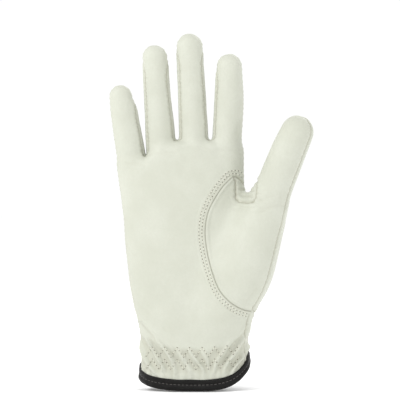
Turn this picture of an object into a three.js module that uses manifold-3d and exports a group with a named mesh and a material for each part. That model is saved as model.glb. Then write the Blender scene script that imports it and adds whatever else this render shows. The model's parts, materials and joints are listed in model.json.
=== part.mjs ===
// A right-hand golf glove, standing on its cuff with the palm facing -Y and the thumb on +X.
// Millimetres, +Z up. The origin is the centre of the cuff opening, level with the lowest point of the hem.
import * as THREE from "three";
import { mergeVertices } from "three/addons/utils/BufferGeometryUtils.js";
import Module from "manifold-3d";

const wasm = await Module();
wasm.setup();

// ---- driving dimensions -------------------------------------------------------------------------

const LEATHER = 0.9;          // thickness of the leather
const GAP = 0.34;             // clearance between two pieces that are sewn together
const SIDES = 14;             // sides of a round section
const CAP_RINGS = 3;          // rings in a fingertip's dome
const FINGER_FLATTENING = 1.14; // width of a finger section over its depth
const THUMB_FLATTENING = 1.05;
const FIT = 0.25;             // how far the finger skin stays inside the worn outline, so fingers clear
const FOURCHETTE = 8.6;       // width of the strip between a finger's front and back
const HINGE_INSET = 1.2;      // a finger's fold line lies this far under its palm-side skin
const FOLD_GAP = 1.25;        // leather left out on each side of a fold line
const BACK_RELIEF = 3;        // degrees by which a finger's root is cut back, for bending backwards
const PALM_EXPONENT = 2.4;    // squareness of the palm section: 2 is an ellipse
const PALM_SIDES = 28;

// Centres and radii down each finger: at the palm, at the first fold, at the second fold, at the tip.
const FINGERS = [
  {
    name: "little",
    knots: [[-40.0, 0, 135, 10.4], [-43.9, -0.2, 163, 9.9], [-46.6, -1.7, 180.5, 9.4], [-48.6, -3.5, 194.0, 8.6]],
    fourchettes: ["right"],
  },
  {
    name: "ring",
    knots: [[-21.5, 0, 140, 10.4], [-23.5, -0.2, 174, 10.1], [-25.2, -1.7, 195, 9.3], [-26.7, -4.5, 220.2, 8.8]],
    fourchettes: ["left", "right"],
  },
  {
    name: "middle",
    knots: [[-0.5, 0, 140, 10.4], [-1.1, -0.2, 174, 10.1], [-2.2, -1.7, 198, 9.6], [-3.6, -5.0, 227.3, 9.2]],
    fourchettes: ["left", "right"],
  },
  {
    name: "index",
    knots: [[20.5, 0, 140, 10.4], [21.8, -0.2, 174, 10.3], [22.6, -1.7, 195, 10.0], [22.8, -4.5, 214.2, 9.1]],
    fourchettes: ["left"],
  },
];

// The thumb, from the heel of the hand to its tip. Its folds are at the fourth and fifth knots.
const THUMB = [
  [17, -4, 50, 17.0], [30.2, -9, 75, 20.0], [38.3, -12, 95, 18], [51.0, -15, 131, 12.4],
  [60.0, -19, 154, 11.9], [67.2, -22, 170.6, 11.0],
];

// Palm and wrist sections: height, little-finger edge, thumb edge, half depth, centre in Y.
const PALM = [
  [-20, -36.4, 36.6, 22.0, 1.5], [0, -36.4, 36.6, 22.0, 1.5], [16, -36.2, 36.4, 21.2, 1.2],
  [30, -36.0, 35.2, 20.0, 0.8], [43, -37.4, 35.4, 19.0, 0.4], [57, -41.0, 36.8, 18.0, 0],
  [76, -44.0, 36.0, 17.2, 0], [96, -46.2, 35.0, 16.4, 0], [119, -48.0, 33.8, 15.4, 0],
  [137, -49.6, 32.8, 14.0, 0], [150, -51.0, 32.2, 12.4, 0], [160, -51.6, 31.9, 10.2, 0],
];
const PALM_TOP = 165;         // level that the last section is stretched up to, less the drop below
// The line of the finger roots across the hand, as X and height.
const ROOT_LINE = [[-60, 149], [-50, 151], [-31.4, 157], [-20, 163], [-10.6, 167.5], [11.3, 167.5], [34, 163]];
const WEBS = [
  { name: "little_ring_web", at: [-32.7, 156.2] },
  { name: "ring_middle_web", at: [-11.6, 167.2] },
  { name: "middle_index_web", at: [10.4, 167.2] },
];
const WEB_HALF_WIDTH = 3.6;
const WEB_DEPTH_BELOW = 8;

// The inset thumb piece's seam, seen from the palm, as X and Z: up the palm side to its peak.
const THUMB_SEAM = [
  [60, 52.2], [36.8, 52.2], [30.7, 53.9], [23.9, 58], [17.2, 64.8], [11.4, 78], [7.8, 92], [6.4, 106],
  [8.4, 118], [13.4, 128], [18.8, 135.7], [24.6, 141.4],
];
const CROTCH_SEAM = [[24.6, 141.4], [27.9, 138], [27.9, 123.7], [31.3, 122.4], [35.6, 122.4], [40.6, 124.2]];
const CROTCH_OUTER = [[40.6, 124.2], [42.6, 130], [38.0, 137.5]];
const GUSSET_TOP = [[38.0, 137.5], [31.5, 141.0], [24.6, 141.4]];
const BACK_OF_THUMB_X = 37.5; // the seam between the back panel and the back of the thumb
const THUMB_SPLIT = { y: -4, z: 50, slope: -0.08 }; // the plane between the thumb's front and back

// Cuff
const HEM_TILT = 0.36;        // the hem rises this much per millimetre from the palm side to the back
const HEM_FRONT_Y = -20.6;
const HEM_THUMB_RISE = 8.5;   // further rise of the hem at the thumb edge
const HEM_LITTLE_RISE = 1.5;
const BINDING_HEIGHT = 6.8;
const BINDING_PROUD = 1.0;    // binding outside the leather's outer face
const BINDING_INSIDE = 1.9;   // binding inside it
const BINDING_FOLD = 2.2;     // thickness of the binding under the leather's edge
const ELASTIC = { low: 12.5, high: 31.5, halfWidth: 32.5, thickness: 0.7 };
const ZIGZAG = { pitch: 8.25, height: 6.2, halfWidth: 32.4, thread: 0.8, rows: [17.4, 25.4] };
const STITCH = { lift: 0.34, height: 0.5, width: 0.7 };
const TOPSTITCH_OFFSETS = [1.8, 3.8];

// Back closure
const SLIT = { x: -2, halfWidthLow: 5.0, halfWidthHigh: 1.6, top: 66 };
const SLIT_BINDING = { width: 3.0, height: 1.0 };
const TAB = { low: 30, high: 58, anchorEdge: 27, hingeX: 17, tip: -31, thickness: 1.1, lift: 2.9, bendX: 13 };
const TAB_SIDE_DROP = 0.27;   // slope of the tab's two ends round the wrist
const TAB_LEAN = 5.2;         // degrees that the back of the wrist leans forward there
const TAB_CENTRE = { y: 20.6, z: 44 };
const LOOP_PATCH = { left: -30, right: -9, low: 31, high: 57, thickness: 0.9 };
const HOOK_PATCH = { left: -29, right: -12, inset: 2.5, thickness: 0.8 };

const LOOKS = {
  leather: { color: 0xe6e8d8, roughness: 0.55, metalness: 0 },
  binding: { color: 0x25211f, roughness: 0.6, metalness: 0 },
  elastic: { color: 0xdcdccf, roughness: 0.9, metalness: 0 },
  thread: { color: 0xd9dbc8, roughness: 0.7, metalness: 0 },
  fastener: { color: 0xe0e1d6, roughness: 0.95, metalness: 0 },
};

const glove = new THREE.Group();

// ---- tools ----------------------------------------------------------------------------------------

// A closed three.js geometry as a solid that can be cut and joined.
function solid(geometry) {
  const bare = geometry.index ? geometry.toNonIndexed() : geometry.clone();
  bare.deleteAttribute("normal");
  bare.deleteAttribute("uv");
  const merged = mergeVertices(bare, 1e-4);
  return new wasm.Manifold(new wasm.Mesh({
    numProp: 3,
    vertProperties: new Float32Array(merged.attributes.position.array),
    triVerts: new Uint32Array(merged.index.array),
  }));
}

// The largest body of a cut solid, without the crumbs that a cut can leave.
function largestBody(cut) {
  const bodies = cut.decompose();
  return bodies.reduce((best, body) => (body.volume() > best.volume() ? body : best));
}

// Adds a named piece to the glove.
function addPiece(name, cut, look) {
  const body = largestBody(cut).getMesh();
  const geometry = new THREE.BufferGeometry();
  geometry.setAttribute("position", new THREE.BufferAttribute(new Float32Array(body.vertProperties), 3));
  geometry.setIndex(new THREE.BufferAttribute(new Uint32Array(body.triVerts), 1));
  geometry.computeVertexNormals();
  const piece = new THREE.Mesh(geometry, new THREE.MeshStandardMaterial(LOOKS[look]));
  piece.name = name;
  glove.add(piece);
}

function shapeOf(points) {
  return new THREE.Shape(points.map(([x, y]) => new THREE.Vector2(x, y)));
}

// An outline in the XZ plane, extruded along Y from yLow to yHigh.
function prismAlongY(points, yLow, yHigh) {
  const geometry = new THREE.ExtrudeGeometry(shapeOf(points), { depth: yHigh - yLow, bevelEnabled: false });
  geometry.rotateX(Math.PI / 2);
  geometry.translate(0, yHigh, 0);
  return solid(geometry);
}

function box(x, y, z) {
  const geometry = new THREE.BoxGeometry(x[1] - x[0], y[1] - y[0], z[1] - z[0]);
  geometry.translate((x[0] + x[1]) / 2, (y[0] + y[1]) / 2, (z[0] + z[1]) / 2);
  return geometry;
}

// The points of a line moved sideways, to its left when the distance is positive.
function offsetLine(points, distance) {
  return points.map((point, i) => {
    const before = points[Math.max(i - 1, 0)];
    const after = points[Math.min(i + 1, points.length - 1)];
    const along = new THREE.Vector2(after[0] - before[0], after[1] - before[1]).normalize();
    return [point[0] - along.y * distance, point[1] + along.x * distance];
  });
}

// A ribbon of a given width that follows a line.
function ribbon(points, width) {
  return [...offsetLine(points, width / 2), ...offsetLine(points, -width / 2).reverse()];
}

// A smooth curve through the points, as a finer line.
function smoothLine(points, divisions) {
  const curve = new THREE.SplineCurve(points.map(([x, y]) => new THREE.Vector2(x, y)));
  return curve.getPoints(divisions).map((point) => [point.x, point.y]);
}

// The frame of a stretch from knot a to knot b: Z runs along it and X stays across the hand.
function frameAlong(a, b) {
  const z = new THREE.Vector3(b[0] - a[0], b[1] - a[1], b[2] - a[2]).normalize();
  const y = new THREE.Vector3().crossVectors(z, new THREE.Vector3(1, 0, 0)).normalize();
  const x = new THREE.Vector3().crossVectors(y, z);
  return new THREE.Matrix4().makeBasis(x, y, z).setPosition(a[0], a[1], a[2]);
}

// ---- forms -----------------------------------------------------------------------------------------

// A tapered bar with round ends between two knots, with a flattened section.
function roundBar(a, b, flattening, inset) {
  const start = new THREE.Vector3(a[0], a[1] * flattening, a[2]);
  const end = new THREE.Vector3(b[0], b[1] * flattening, b[2]);
  const length = start.distanceTo(end);
  const [r0, r1] = [a[3] - inset, b[3] - inset];
  const tangent = Math.asin((r0 - r1) / length);
  const profile = [];
  for (let i = 0; i <= CAP_RINGS; i++) {
    const angle = -Math.PI / 2 + (tangent + Math.PI / 2) * (i / CAP_RINGS);
    profile.push(new THREE.Vector2(i ? r0 * Math.cos(angle) : 0, r0 * Math.sin(angle)));
  }
  for (let i = 0; i <= CAP_RINGS; i++) {
    const angle = tangent + (Math.PI / 2 - tangent) * (i / CAP_RINGS);
    profile.push(new THREE.Vector2(i < CAP_RINGS ? r1 * Math.cos(angle) : 0, length + r1 * Math.sin(angle)));
  }
  const geometry = new THREE.LatheGeometry(profile, SIDES);
  geometry.rotateX(Math.PI / 2);
  geometry.applyMatrix4(frameAlong(start.toArray(), end.toArray()));
  geometry.scale(1, 1 / flattening, 1);
  return solid(geometry);
}

function chain(knots, flattening, inset) {
  let form = roundBar(knots[0], knots[1], flattening, inset);
  for (let i = 1; i + 1 < knots.length; i++) {
    form = form.add(roundBar(knots[i], knots[i + 1], flattening, inset));
  }
  return form;
}

function rootLineHeight(x) {
  const i = Math.max(1, ROOT_LINE.findIndex(([lineX]) => lineX >= x));
  const [[x0, z0], [x1, z1]] = [ROOT_LINE[i - 1], ROOT_LINE[i]];
  return z0 + (z1 - z0) * ((x - x0) / (x1 - x0));
}

// The hand and wrist without fingers or thumb: one section carried up through the PALM stations.
function palmForm(inset) {
  const section = [];
  for (let i = 0; i < PALM_SIDES; i++) {
    const angle = (2 * Math.PI * i) / PALM_SIDES;
    const power = (value) => Math.sign(value) * Math.abs(value) ** (2 / PALM_EXPONENT);
    section.push([power(Math.cos(angle)), power(Math.sin(angle))]);
  }
  const steps = PALM.length - 1;
  const geometry = new THREE.ExtrudeGeometry(shapeOf(section), { depth: steps, steps, bevelEnabled: false });
  const position = geometry.attributes.position;
  const stretchFrom = PALM[8][0];
  const last = PALM[steps][0];
  for (let i = 0; i < position.count; i++) {
    const [height, left, right, halfDepth, centreY] = PALM[Math.round(position.getZ(i))];
    const halfWidth = (right - left) / 2 - inset;
    const x = (left + right) / 2 + position.getX(i) * halfWidth;
    const y = centreY + position.getY(i) * (halfDepth - inset);
    const share = Math.max(0, (height - stretchFrom) / (last - stretchFrom));
    const top = Math.min(rootLineHeight(x), PALM_TOP) - inset;
    position.setXYZ(i, x, y, height + share * (top - last) - (height < 0 ? inset : 0));
  }
  return solid(geometry);
}

// Everything that the leather is stretched over, grown (negative inset) or shrunk (positive).
function handForm(inset) {
  let form = palmForm(inset).add(chain(THUMB, THUMB_FLATTENING, inset));
  for (const finger of FINGERS) {
    form = form.add(chain(finger.knots, FINGER_FLATTENING, inset + FIT));
  }
  return form;
}

function hemHeight(x, y) {
  const rise = x > 0 ? HEM_THUMB_RISE : HEM_LITTLE_RISE;
  const edge = Math.min(Math.abs(x) / 36, 1.2);
  return Math.max(0, y - HEM_FRONT_Y) * HEM_TILT + rise * edge ** 4;
}

// The layer between two heights above the curved hem line.
function hemLayer(low, high) {
  const geometry = new THREE.BoxGeometry(100, 80, 1, 12, 8, 1);
  const position = geometry.attributes.position;
  for (let i = 0; i < position.count; i++) {
    const level = position.getZ(i) > 0 ? high : low;
    position.setZ(i, level + hemHeight(position.getX(i), position.getY(i)));
  }
  return solid(geometry);
}

// ---- shared forms and seam cuts ----------------------------------------------------------------------

const outside = handForm(0);
const inside = handForm(LEATHER);
const skin = outside.subtract(inside);
const REACH = 60; // longer than the glove is deep

// A cutting block above (side 1) or below (side -1) the fold at knot a of a stretch towards knot b.
function foldBlock(a, b, flattening, side, relief) {
  const depth = -(a[3] - FIT) / flattening + HINGE_INSET;
  const width = a[3] + 0.9;
  const span = side > 0 ? [FOLD_GAP, 90] : [-90, -FOLD_GAP];
  const geometry = box([-width, width], [-REACH / 2, REACH / 2], span);
  geometry.rotateX(THREE.MathUtils.degToRad(relief * side));
  geometry.translate(0, depth, 0);
  geometry.applyMatrix4(frameAlong(a, b));
  return solid(geometry);
}

// What lies beyond a fold's lower lip, which is cut away from the body below it.
function aboveLip(a, b, flattening) {
  const width = a[3] + 0.25;
  const geometry = box([-width, width], [-REACH / 2, REACH / 2], [-FOLD_GAP, 90]);
  geometry.applyMatrix4(frameAlong(a, b));
  return solid(geometry);
}

// ---- fingers -----------------------------------------------------------------------------------------

// The front (side -1) or back (side 1) cover of one finger stretch, in the stretch's own frame.
function coverBlock(length, tip, side, fourchettes) {
  const edge = (name) => (fourchettes.includes(name) ? (FOURCHETTE / 2 + GAP) * side : (GAP / 2) * side);
  const halves = [["left", -1], ["right", 1]].map(([name, hand]) => {
    const far = REACH * 0.5 * side;
    const stripEnd = tip ? length - 1 : length + 60;
    const outline = [
      [far, -20], [edge(name), -20], [edge(name), stripEnd], [(GAP / 2) * side, stripEnd + 3],
      [(GAP / 2) * side, length + 70], [far, length + 70],
    ];
    const geometry = new THREE.ExtrudeGeometry(shapeOf(outline), { depth: 20, bevelEnabled: false });
    geometry.applyMatrix4(new THREE.Matrix4().set(0, 0, 1, 0, 1, 0, 0, 0, 0, 1, 0, 0, 0, 0, 0, 1));
    geometry.translate(hand > 0 ? -0.01 : -19.99, 0, 0);
    return solid(geometry);
  });
  return halves[0].add(halves[1]);
}

function addFingerStretch(finger, index) {
  const [from, to] = [finger.knots[index], finger.knots[index + 1]];
  const tip = index === 2;
  const label = `${finger.name}_${tip ? "upper" : "lower"}`;
  const place = frameAlong(from, to);
  const length = Math.hypot(to[0] - from[0], to[1] - from[1], to[2] - from[2]);
  const shell = chain(finger.knots, FINGER_FLATTENING, FIT)
    .subtract(chain(finger.knots, FINGER_FLATTENING, FIT + LEATHER));
  let stretch = shell.intersect(foldBlock(from, to, FINGER_FLATTENING, 1, tip ? 0 : BACK_RELIEF));
  if (!tip) {
    stretch = stretch.subtract(aboveLip(to, finger.knots[index + 2], FINGER_FLATTENING));
  }
  const placed = (block) => block.transform(place.elements);
  addPiece(`${label}_front`, stretch.intersect(placed(coverBlock(length, tip, -1, finger.fourchettes))), "leather");
  addPiece(`${label}_back`, stretch.intersect(placed(coverBlock(length, tip, 1, finger.fourchettes))), "leather");
  for (const name of finger.fourchettes) {
    const across = name === "left" ? [-20, -1] : [1, 20];
    const end = tip ? length - 1 - GAP : length + 60;
    const strip = box(across, [-FOURCHETTE / 2, FOURCHETTE / 2], [-20, end]);
    strip.applyMatrix4(place);
    addPiece(`${label}_fourchette_${name}`, stretch.intersect(solid(strip)), "leather");
  }
}

for (const finger of FINGERS) {
  addFingerStretch(finger, 1);
  addFingerStretch(finger, 2);
}

// ---- thumb ---------------------------------------------------------------------------------------------

// The half space in front of (side -1) or behind (side 1) the thumb's dividing plane.
function thumbHalf(side) {
  const geometry = box([-100, 150], side < 0 ? [-REACH, -GAP / 2] : [GAP / 2, REACH], [-100, 200]);
  const shear = new THREE.Matrix4().set(
    1, 0, 0, 0,
    0, 1, THUMB_SPLIT.slope, THUMB_SPLIT.y - THUMB_SPLIT.slope * THUMB_SPLIT.z,
    0, 0, 1, 0,
    0, 0, 0, 1,
  );
  geometry.applyMatrix4(shear);
  return solid(geometry);
}

function addThumbStretch(label, index, tip) {
  const [from, to] = [THUMB[index], THUMB[index + 1]];
  const shell = chain(THUMB, THUMB_FLATTENING, 0).subtract(chain(THUMB, THUMB_FLATTENING, LEATHER));
  let stretch = shell.intersect(foldBlock(from, to, THUMB_FLATTENING, 1, 0));
  if (!tip) {
    stretch = stretch.subtract(aboveLip(to, THUMB[index + 2], THUMB_FLATTENING));
  }
  const split = (side) => {
    const block = box([-REACH, REACH], side < 0 ? [-REACH, -GAP / 2] : [GAP / 2, REACH], [-REACH, REACH]);
    block.applyMatrix4(frameAlong(from, to));
    return solid(block);
  };
  addPiece(`${label}_front`, stretch.intersect(split(-1)), "leather");
  addPiece(`${label}_back`, stretch.intersect(split(1)), "leather");
}

addThumbStretch("thumb_lower", 3, false);
addThumbStretch("thumb_upper", 4, true);

// ---- hand and wrist ------------------------------------------------------------------------------------

let hand = skin.subtract(hemLayer(-60, BINDING_FOLD + GAP));
for (const finger of FINGERS) {
  hand = hand.subtract(aboveLip(finger.knots[1], finger.knots[2], FINGER_FLATTENING));
}
hand = hand.subtract(aboveLip(THUMB[3], THUMB[4], THUMB_FLATTENING));

const thumbSeam = [THUMB_SEAM[0], ...smoothLine(THUMB_SEAM.slice(1), 30)];
const thumbOutline = [...thumbSeam, ...CROTCH_SEAM.slice(1), ...CROTCH_OUTER.slice(1), [60, 190], [110, 190], [110, 52.2]];
const gussetOutline = [...CROTCH_SEAM, ...CROTCH_OUTER.slice(1), ...GUSSET_TOP.slice(1, -1)];
const thumbZone = prismAlongY(thumbOutline, -REACH, REACH);
const gussetZone = prismAlongY(gussetOutline, -REACH, REACH);
const behindThumb = solid(box([BACK_OF_THUMB_X, 120], [-REACH, REACH], [0, 200]));
const seamCut = (line) => prismAlongY(ribbon(line, GAP), -REACH, REACH);

const palmHalf = solid(box([-100, 120], [-REACH, -GAP / 2], [-80, 260]));
const backHalf = solid(box([-100, 120], [GAP / 2, REACH], [-80, 260]));

// The three webs between the fingers, each the bottom of the fourchettes on its two sides.
let webCut = null;
for (const web of WEBS) {
  const [x, z] = web.at;
  const zone = (grow) => solid(box(
    [x - WEB_HALF_WIDTH - grow, x + WEB_HALF_WIDTH + grow],
    [-FOURCHETTE / 2 - grow, FOURCHETTE / 2 + grow],
    [z - WEB_DEPTH_BELOW - grow, z + 60],
  ));
  addPiece(web.name, hand.intersect(zone(0)), "leather");
  webCut = webCut ? webCut.add(zone(GAP)) : zone(GAP);
}
const covers = hand.subtract(webCut);

const frontCuts = [thumbSeam, CROTCH_SEAM, CROTCH_OUTER, GUSSET_TOP].map(seamCut).reduce((all, cut) => all.add(cut));
const palmPanel = covers.intersect(palmHalf).subtract(thumbZone).subtract(gussetZone).subtract(frontCuts);
addPiece("palm_panel", palmPanel, "leather");
addPiece("thumb_inset_front", covers.intersect(thumbZone).subtract(frontCuts).intersect(thumbHalf(-1)), "leather");
addPiece("thumb_gusset", covers.intersect(gussetZone).subtract(frontCuts).intersect(palmHalf), "leather");
const thumbBackCut = solid(box([BACK_OF_THUMB_X - GAP, BACK_OF_THUMB_X], [-REACH, REACH], [0, 200]));
const thumbBack = covers.intersect(thumbZone).intersect(behindThumb).intersect(thumbHalf(1)).subtract(frontCuts);
addPiece("thumb_inset_back", thumbBack, "leather");

// The back panel, with the slit that lets the hand in.
function slitOutline(grow) {
  const { x, halfWidthLow, halfWidthHigh, top } = SLIT;
  const arch = [];
  for (let i = 0; i <= 6; i++) {
    const angle = (Math.PI * i) / 6;
    arch.push([x + (halfWidthHigh + grow) * Math.cos(angle), top + (halfWidthHigh + grow) * Math.sin(angle)]);
  }
  return [[x - halfWidthLow - grow, -20], [x + halfWidthLow + grow, -20], ...arch];
}
const slitZone = (grow) => prismAlongY(slitOutline(grow), 0, REACH);
const backPanel = covers.intersect(backHalf).subtract(thumbZone.intersect(behindThumb)).subtract(thumbBackCut)
  .subtract(slitZone(0));
addPiece("back_panel", backPanel, "leather");

// ---- cuff: binding, elastic and its stitching -------------------------------------------------------------

const proud = handForm(-BINDING_PROUD);
const bindingCore = handForm(BINDING_INSIDE);
const leatherSlot = handForm(-GAP).subtract(handForm(LEATHER + GAP)).intersect(hemLayer(BINDING_FOLD, 40));
const hemBinding = proud.subtract(bindingCore).intersect(hemLayer(0, BINDING_HEIGHT)).subtract(leatherSlot)
  .subtract(slitZone(-GAP));
addPiece("hem_binding", hemBinding, "binding");

const slitRim = slitZone(SLIT_BINDING.width).subtract(slitZone(0));
const slitBinding = handForm(-GAP - SLIT_BINDING.height).subtract(handForm(-GAP)).intersect(slitRim)
  .subtract(hemLayer(-60, BINDING_HEIGHT + GAP));
addPiece("slit_binding", slitBinding, "binding");

const elasticZone = solid(box([-ELASTIC.halfWidth, ELASTIC.halfWidth], [-REACH, -2], [ELASTIC.low, ELASTIC.high]));
const elasticBand = handForm(LEATHER + GAP).subtract(handForm(LEATHER + GAP + ELASTIC.thickness));
const aboveBinding = hemLayer(-60, BINDING_HEIGHT + GAP);
addPiece("wrist_elastic", elasticBand.intersect(elasticZone).subtract(aboveBinding), "elastic");

// Threads lie on the leather's palm face as narrow raised lines.
const threadLayer = handForm(-STITCH.lift - STITCH.height).subtract(handForm(-STITCH.lift));
const threadAlong = (line, width) => threadLayer.intersect(prismAlongY(ribbon(line, width), -REACH, -3));

TOPSTITCH_OFFSETS.forEach((offset, row) => {
  const line = offsetLine(smoothLine(THUMB_SEAM.slice(1, -1), 26), offset);
  addPiece(`thumb_topstitch_${row + 1}`, threadAlong(line, STITCH.width), "thread");
});

ZIGZAG.rows.forEach((middle, row) => {
  const turns = Math.floor((2 * ZIGZAG.halfWidth) / (ZIGZAG.pitch / 2));
  const line = [];
  for (let i = 0; i <= turns; i++) {
    const x = -ZIGZAG.halfWidth + (i * ZIGZAG.pitch) / 2;
    const rise = 2.5 * Math.max(0, x / ZIGZAG.halfWidth) ** 2;
    line.push([x, middle + rise + (i % 2 ? 0.5 : -0.5) * ZIGZAG.height]);
  }
  const outline = [...line.map(([x, z]) => [x, z + ZIGZAG.thread]), ...line.map(([x, z]) => [x, z - ZIGZAG.thread]).reverse()];
  const names = ["zigzag_stitch_lower", "zigzag_stitch_upper"];
  addPiece(names[row], threadLayer.intersect(prismAlongY(outline, -REACH, -1)), "thread");
});

// ---- back closure: loop patch, tab and hook patch --------------------------------------------------------

// A plate that follows the back of the wrist: flat in the middle, with both ends sloping down.
function wristPlate(left, right, low, high, bottom, thickness) {
  const height = (x) => -TAB_SIDE_DROP * Math.max(0, Math.abs(x) - TAB.bendX);
  const bends = [left, -TAB.bendX, TAB.bendX, right].filter((x) => x >= left && x <= right);
  const line = [...new Set(bends)];
  const outline = [
    ...line.map((x) => [x, bottom + height(x)]),
    ...line.map((x) => [x, bottom + thickness + height(x)]).reverse(),
  ];
  const geometry = new THREE.ExtrudeGeometry(shapeOf(outline), { depth: high - low, bevelEnabled: false });
  geometry.translate(0, 0, low - TAB_CENTRE.z);
  geometry.rotateX(THREE.MathUtils.degToRad(TAB_LEAN));
  geometry.translate(0, TAB_CENTRE.y, TAB_CENTRE.z);
  return solid(geometry);
}

const clearOfHand = handForm(-GAP - SLIT_BINDING.height - GAP);
const loopBase = handForm(-GAP);
const loopZone = solid(box(
  [LOOP_PATCH.left, Math.min(LOOP_PATCH.right, SLIT.x - SLIT.halfWidthLow - SLIT_BINDING.width - GAP)],
  [0, REACH], [LOOP_PATCH.low, LOOP_PATCH.high],
));
const loopPatch = handForm(-GAP - LOOP_PATCH.thickness).subtract(loopBase).intersect(loopZone);
addPiece("loop_patch", loopPatch, "fastener");

// The tab's outline seen from behind: square at the sewn end and rounded at the pulling end.
function tabOutline() {
  const middle = (TAB.low + TAB.high) / 2;
  const half = (TAB.high - TAB.low) / 2;
  const roundness = 9;
  const end = [];
  for (let i = 0; i <= 8; i++) {
    const angle = Math.PI / 2 + (Math.PI * i) / 8;
    end.push([TAB.tip + roundness + roundness * Math.cos(angle), middle + half * Math.sin(angle)]);
  }
  return [[TAB.hingeX - GAP, TAB.low], [TAB.hingeX - GAP, TAB.high], ...end];
}
const tabZone = prismAlongY(tabOutline(), 0, REACH);
const tabPlate = wristPlate(TAB.tip, TAB.hingeX - GAP, TAB.low, TAB.high, TAB.lift, TAB.thickness);
addPiece("closure_tab", tabPlate.intersect(tabZone), "leather");
const hookPlate = wristPlate(
  HOOK_PATCH.left + HOOK_PATCH.inset, HOOK_PATCH.right, TAB.low + HOOK_PATCH.inset, TAB.high - HOOK_PATCH.inset,
  TAB.lift - GAP - HOOK_PATCH.thickness, HOOK_PATCH.thickness,
);
addPiece("hook_patch", hookPlate, "fastener");
const anchorPlate = wristPlate(TAB.hingeX + GAP, TAB.anchorEdge, TAB.low, TAB.high, TAB.lift, TAB.thickness);
addPiece("closure_tab_anchor", anchorPlate.subtract(clearOfHand), "leather");

export default glove;
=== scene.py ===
# The look of a right-hand golf glove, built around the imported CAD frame.
# The leather is made as one smooth hand form, cut along the seams into its panels, then puckered,
# stitched and bound. Work is in millimetres and every finished mesh is scaled to metres.
import json
import math

import bpy
import numpy as np
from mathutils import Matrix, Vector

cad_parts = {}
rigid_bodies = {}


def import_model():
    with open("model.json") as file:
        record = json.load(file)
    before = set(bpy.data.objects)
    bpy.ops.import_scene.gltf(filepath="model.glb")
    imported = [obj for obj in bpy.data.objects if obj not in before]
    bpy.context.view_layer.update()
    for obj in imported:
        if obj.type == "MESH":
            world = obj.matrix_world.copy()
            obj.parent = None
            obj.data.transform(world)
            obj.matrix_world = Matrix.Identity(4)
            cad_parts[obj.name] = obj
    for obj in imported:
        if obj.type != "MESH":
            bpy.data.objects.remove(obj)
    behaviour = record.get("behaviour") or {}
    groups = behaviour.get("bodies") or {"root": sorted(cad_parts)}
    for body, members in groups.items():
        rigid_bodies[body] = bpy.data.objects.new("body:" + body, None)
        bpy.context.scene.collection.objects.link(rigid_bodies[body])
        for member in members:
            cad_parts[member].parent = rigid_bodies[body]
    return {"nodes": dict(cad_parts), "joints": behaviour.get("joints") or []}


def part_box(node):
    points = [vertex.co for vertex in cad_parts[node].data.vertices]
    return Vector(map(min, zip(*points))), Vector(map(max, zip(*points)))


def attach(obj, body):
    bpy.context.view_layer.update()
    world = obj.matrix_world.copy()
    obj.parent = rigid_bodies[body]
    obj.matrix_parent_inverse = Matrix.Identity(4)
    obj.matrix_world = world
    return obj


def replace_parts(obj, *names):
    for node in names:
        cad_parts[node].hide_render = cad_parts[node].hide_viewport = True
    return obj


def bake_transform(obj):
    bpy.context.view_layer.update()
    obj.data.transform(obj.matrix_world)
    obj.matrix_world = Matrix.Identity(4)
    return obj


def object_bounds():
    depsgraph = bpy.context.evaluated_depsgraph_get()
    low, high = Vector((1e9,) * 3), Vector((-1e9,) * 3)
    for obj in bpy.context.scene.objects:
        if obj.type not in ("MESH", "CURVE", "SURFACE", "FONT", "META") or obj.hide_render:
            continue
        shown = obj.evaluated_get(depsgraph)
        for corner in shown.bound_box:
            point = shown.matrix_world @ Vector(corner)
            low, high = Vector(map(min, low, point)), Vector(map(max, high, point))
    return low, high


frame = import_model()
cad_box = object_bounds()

import openvdb
from mathutils import Vector, kdtree
from mathutils.bvhtree import BVHTree

MM = 0.001
VOXEL = 0.85                 # grid step of the hand form
LEATHER = 0.8                # thickness of the leather
FINGER_FLATTENING = 1.14     # width of a finger section over its depth
THUMB_FLATTENING = 1.05
FINGERS = ("little", "ring", "middle", "index")
DIGITS = (*FINGERS, "thumb")
SECOND_FOLD = {name: f"{name}_middle_bend" for name in FINGERS} | {"thumb": "thumb_tip_bend"}
FOLD_REACH = 7.5             # a fold's ends lie up to this far on each side of its hinge
SECTION_OFFSET = 4.0         # a digit's sections are measured this far from its folds
SECTION_GROWTH = 0.15        # added to a measured radius, as CAD sections are faceted
TIP_LOSS = 0.35              # taken off the radius at a fingertip
UP = np.array([0.0, 0.0, 1.0])
JOINTS = {joint["name"]: joint for joint in frame["joints"]}


# ---- reading the frame ----

def joint_point(name):
    return np.array(JOINTS[name]["pos_m"]) / MM


def unit(v):
    return v / np.maximum(np.linalg.norm(v, axis=-1, keepdims=True), 1e-9)


def node_crossings(names, point, normal):
    """Where the edges of CAD nodes cross a plane, in millimetres."""
    found = []
    for name in names:
        mesh = frame["nodes"][name].data
        co = np.zeros(len(mesh.vertices) * 3)
        mesh.vertices.foreach_get("co", co)
        co = co.reshape(-1, 3) / MM
        edges = np.zeros(len(mesh.edges) * 2, int)
        mesh.edges.foreach_get("vertices", edges)
        a, b = co[edges.reshape(-1, 2)].transpose(1, 0, 2)
        da, db = (a - point) @ normal, (b - point) @ normal
        cut = da * db < 0
        share = (da[cut] / (da[cut] - db[cut]))[:, None]
        found.append(a[cut] + (b[cut] - a[cut]) * share)
    return np.concatenate(found)


def ring_at(names, point, along):
    """The centre and radius (x, y, z, r) of the section where the nodes cross a plane."""
    across = unit(np.cross((0.0, 1.0, 0.0), along))
    deep = np.cross(along, across)
    ring = node_crossings(names, point, along) - point
    u, v = ring @ across, ring @ deep
    centre = point + across * (u.min() + u.max()) / 2 + deep * (v.min() + v.max()) / 2
    return [*centre, (u.max() - u.min()) / 2 + SECTION_GROWTH]


def stretch_nodes(digit, part):
    return [name for name in frame["nodes"] if name.startswith(f"{digit}_{part}_")]


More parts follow.
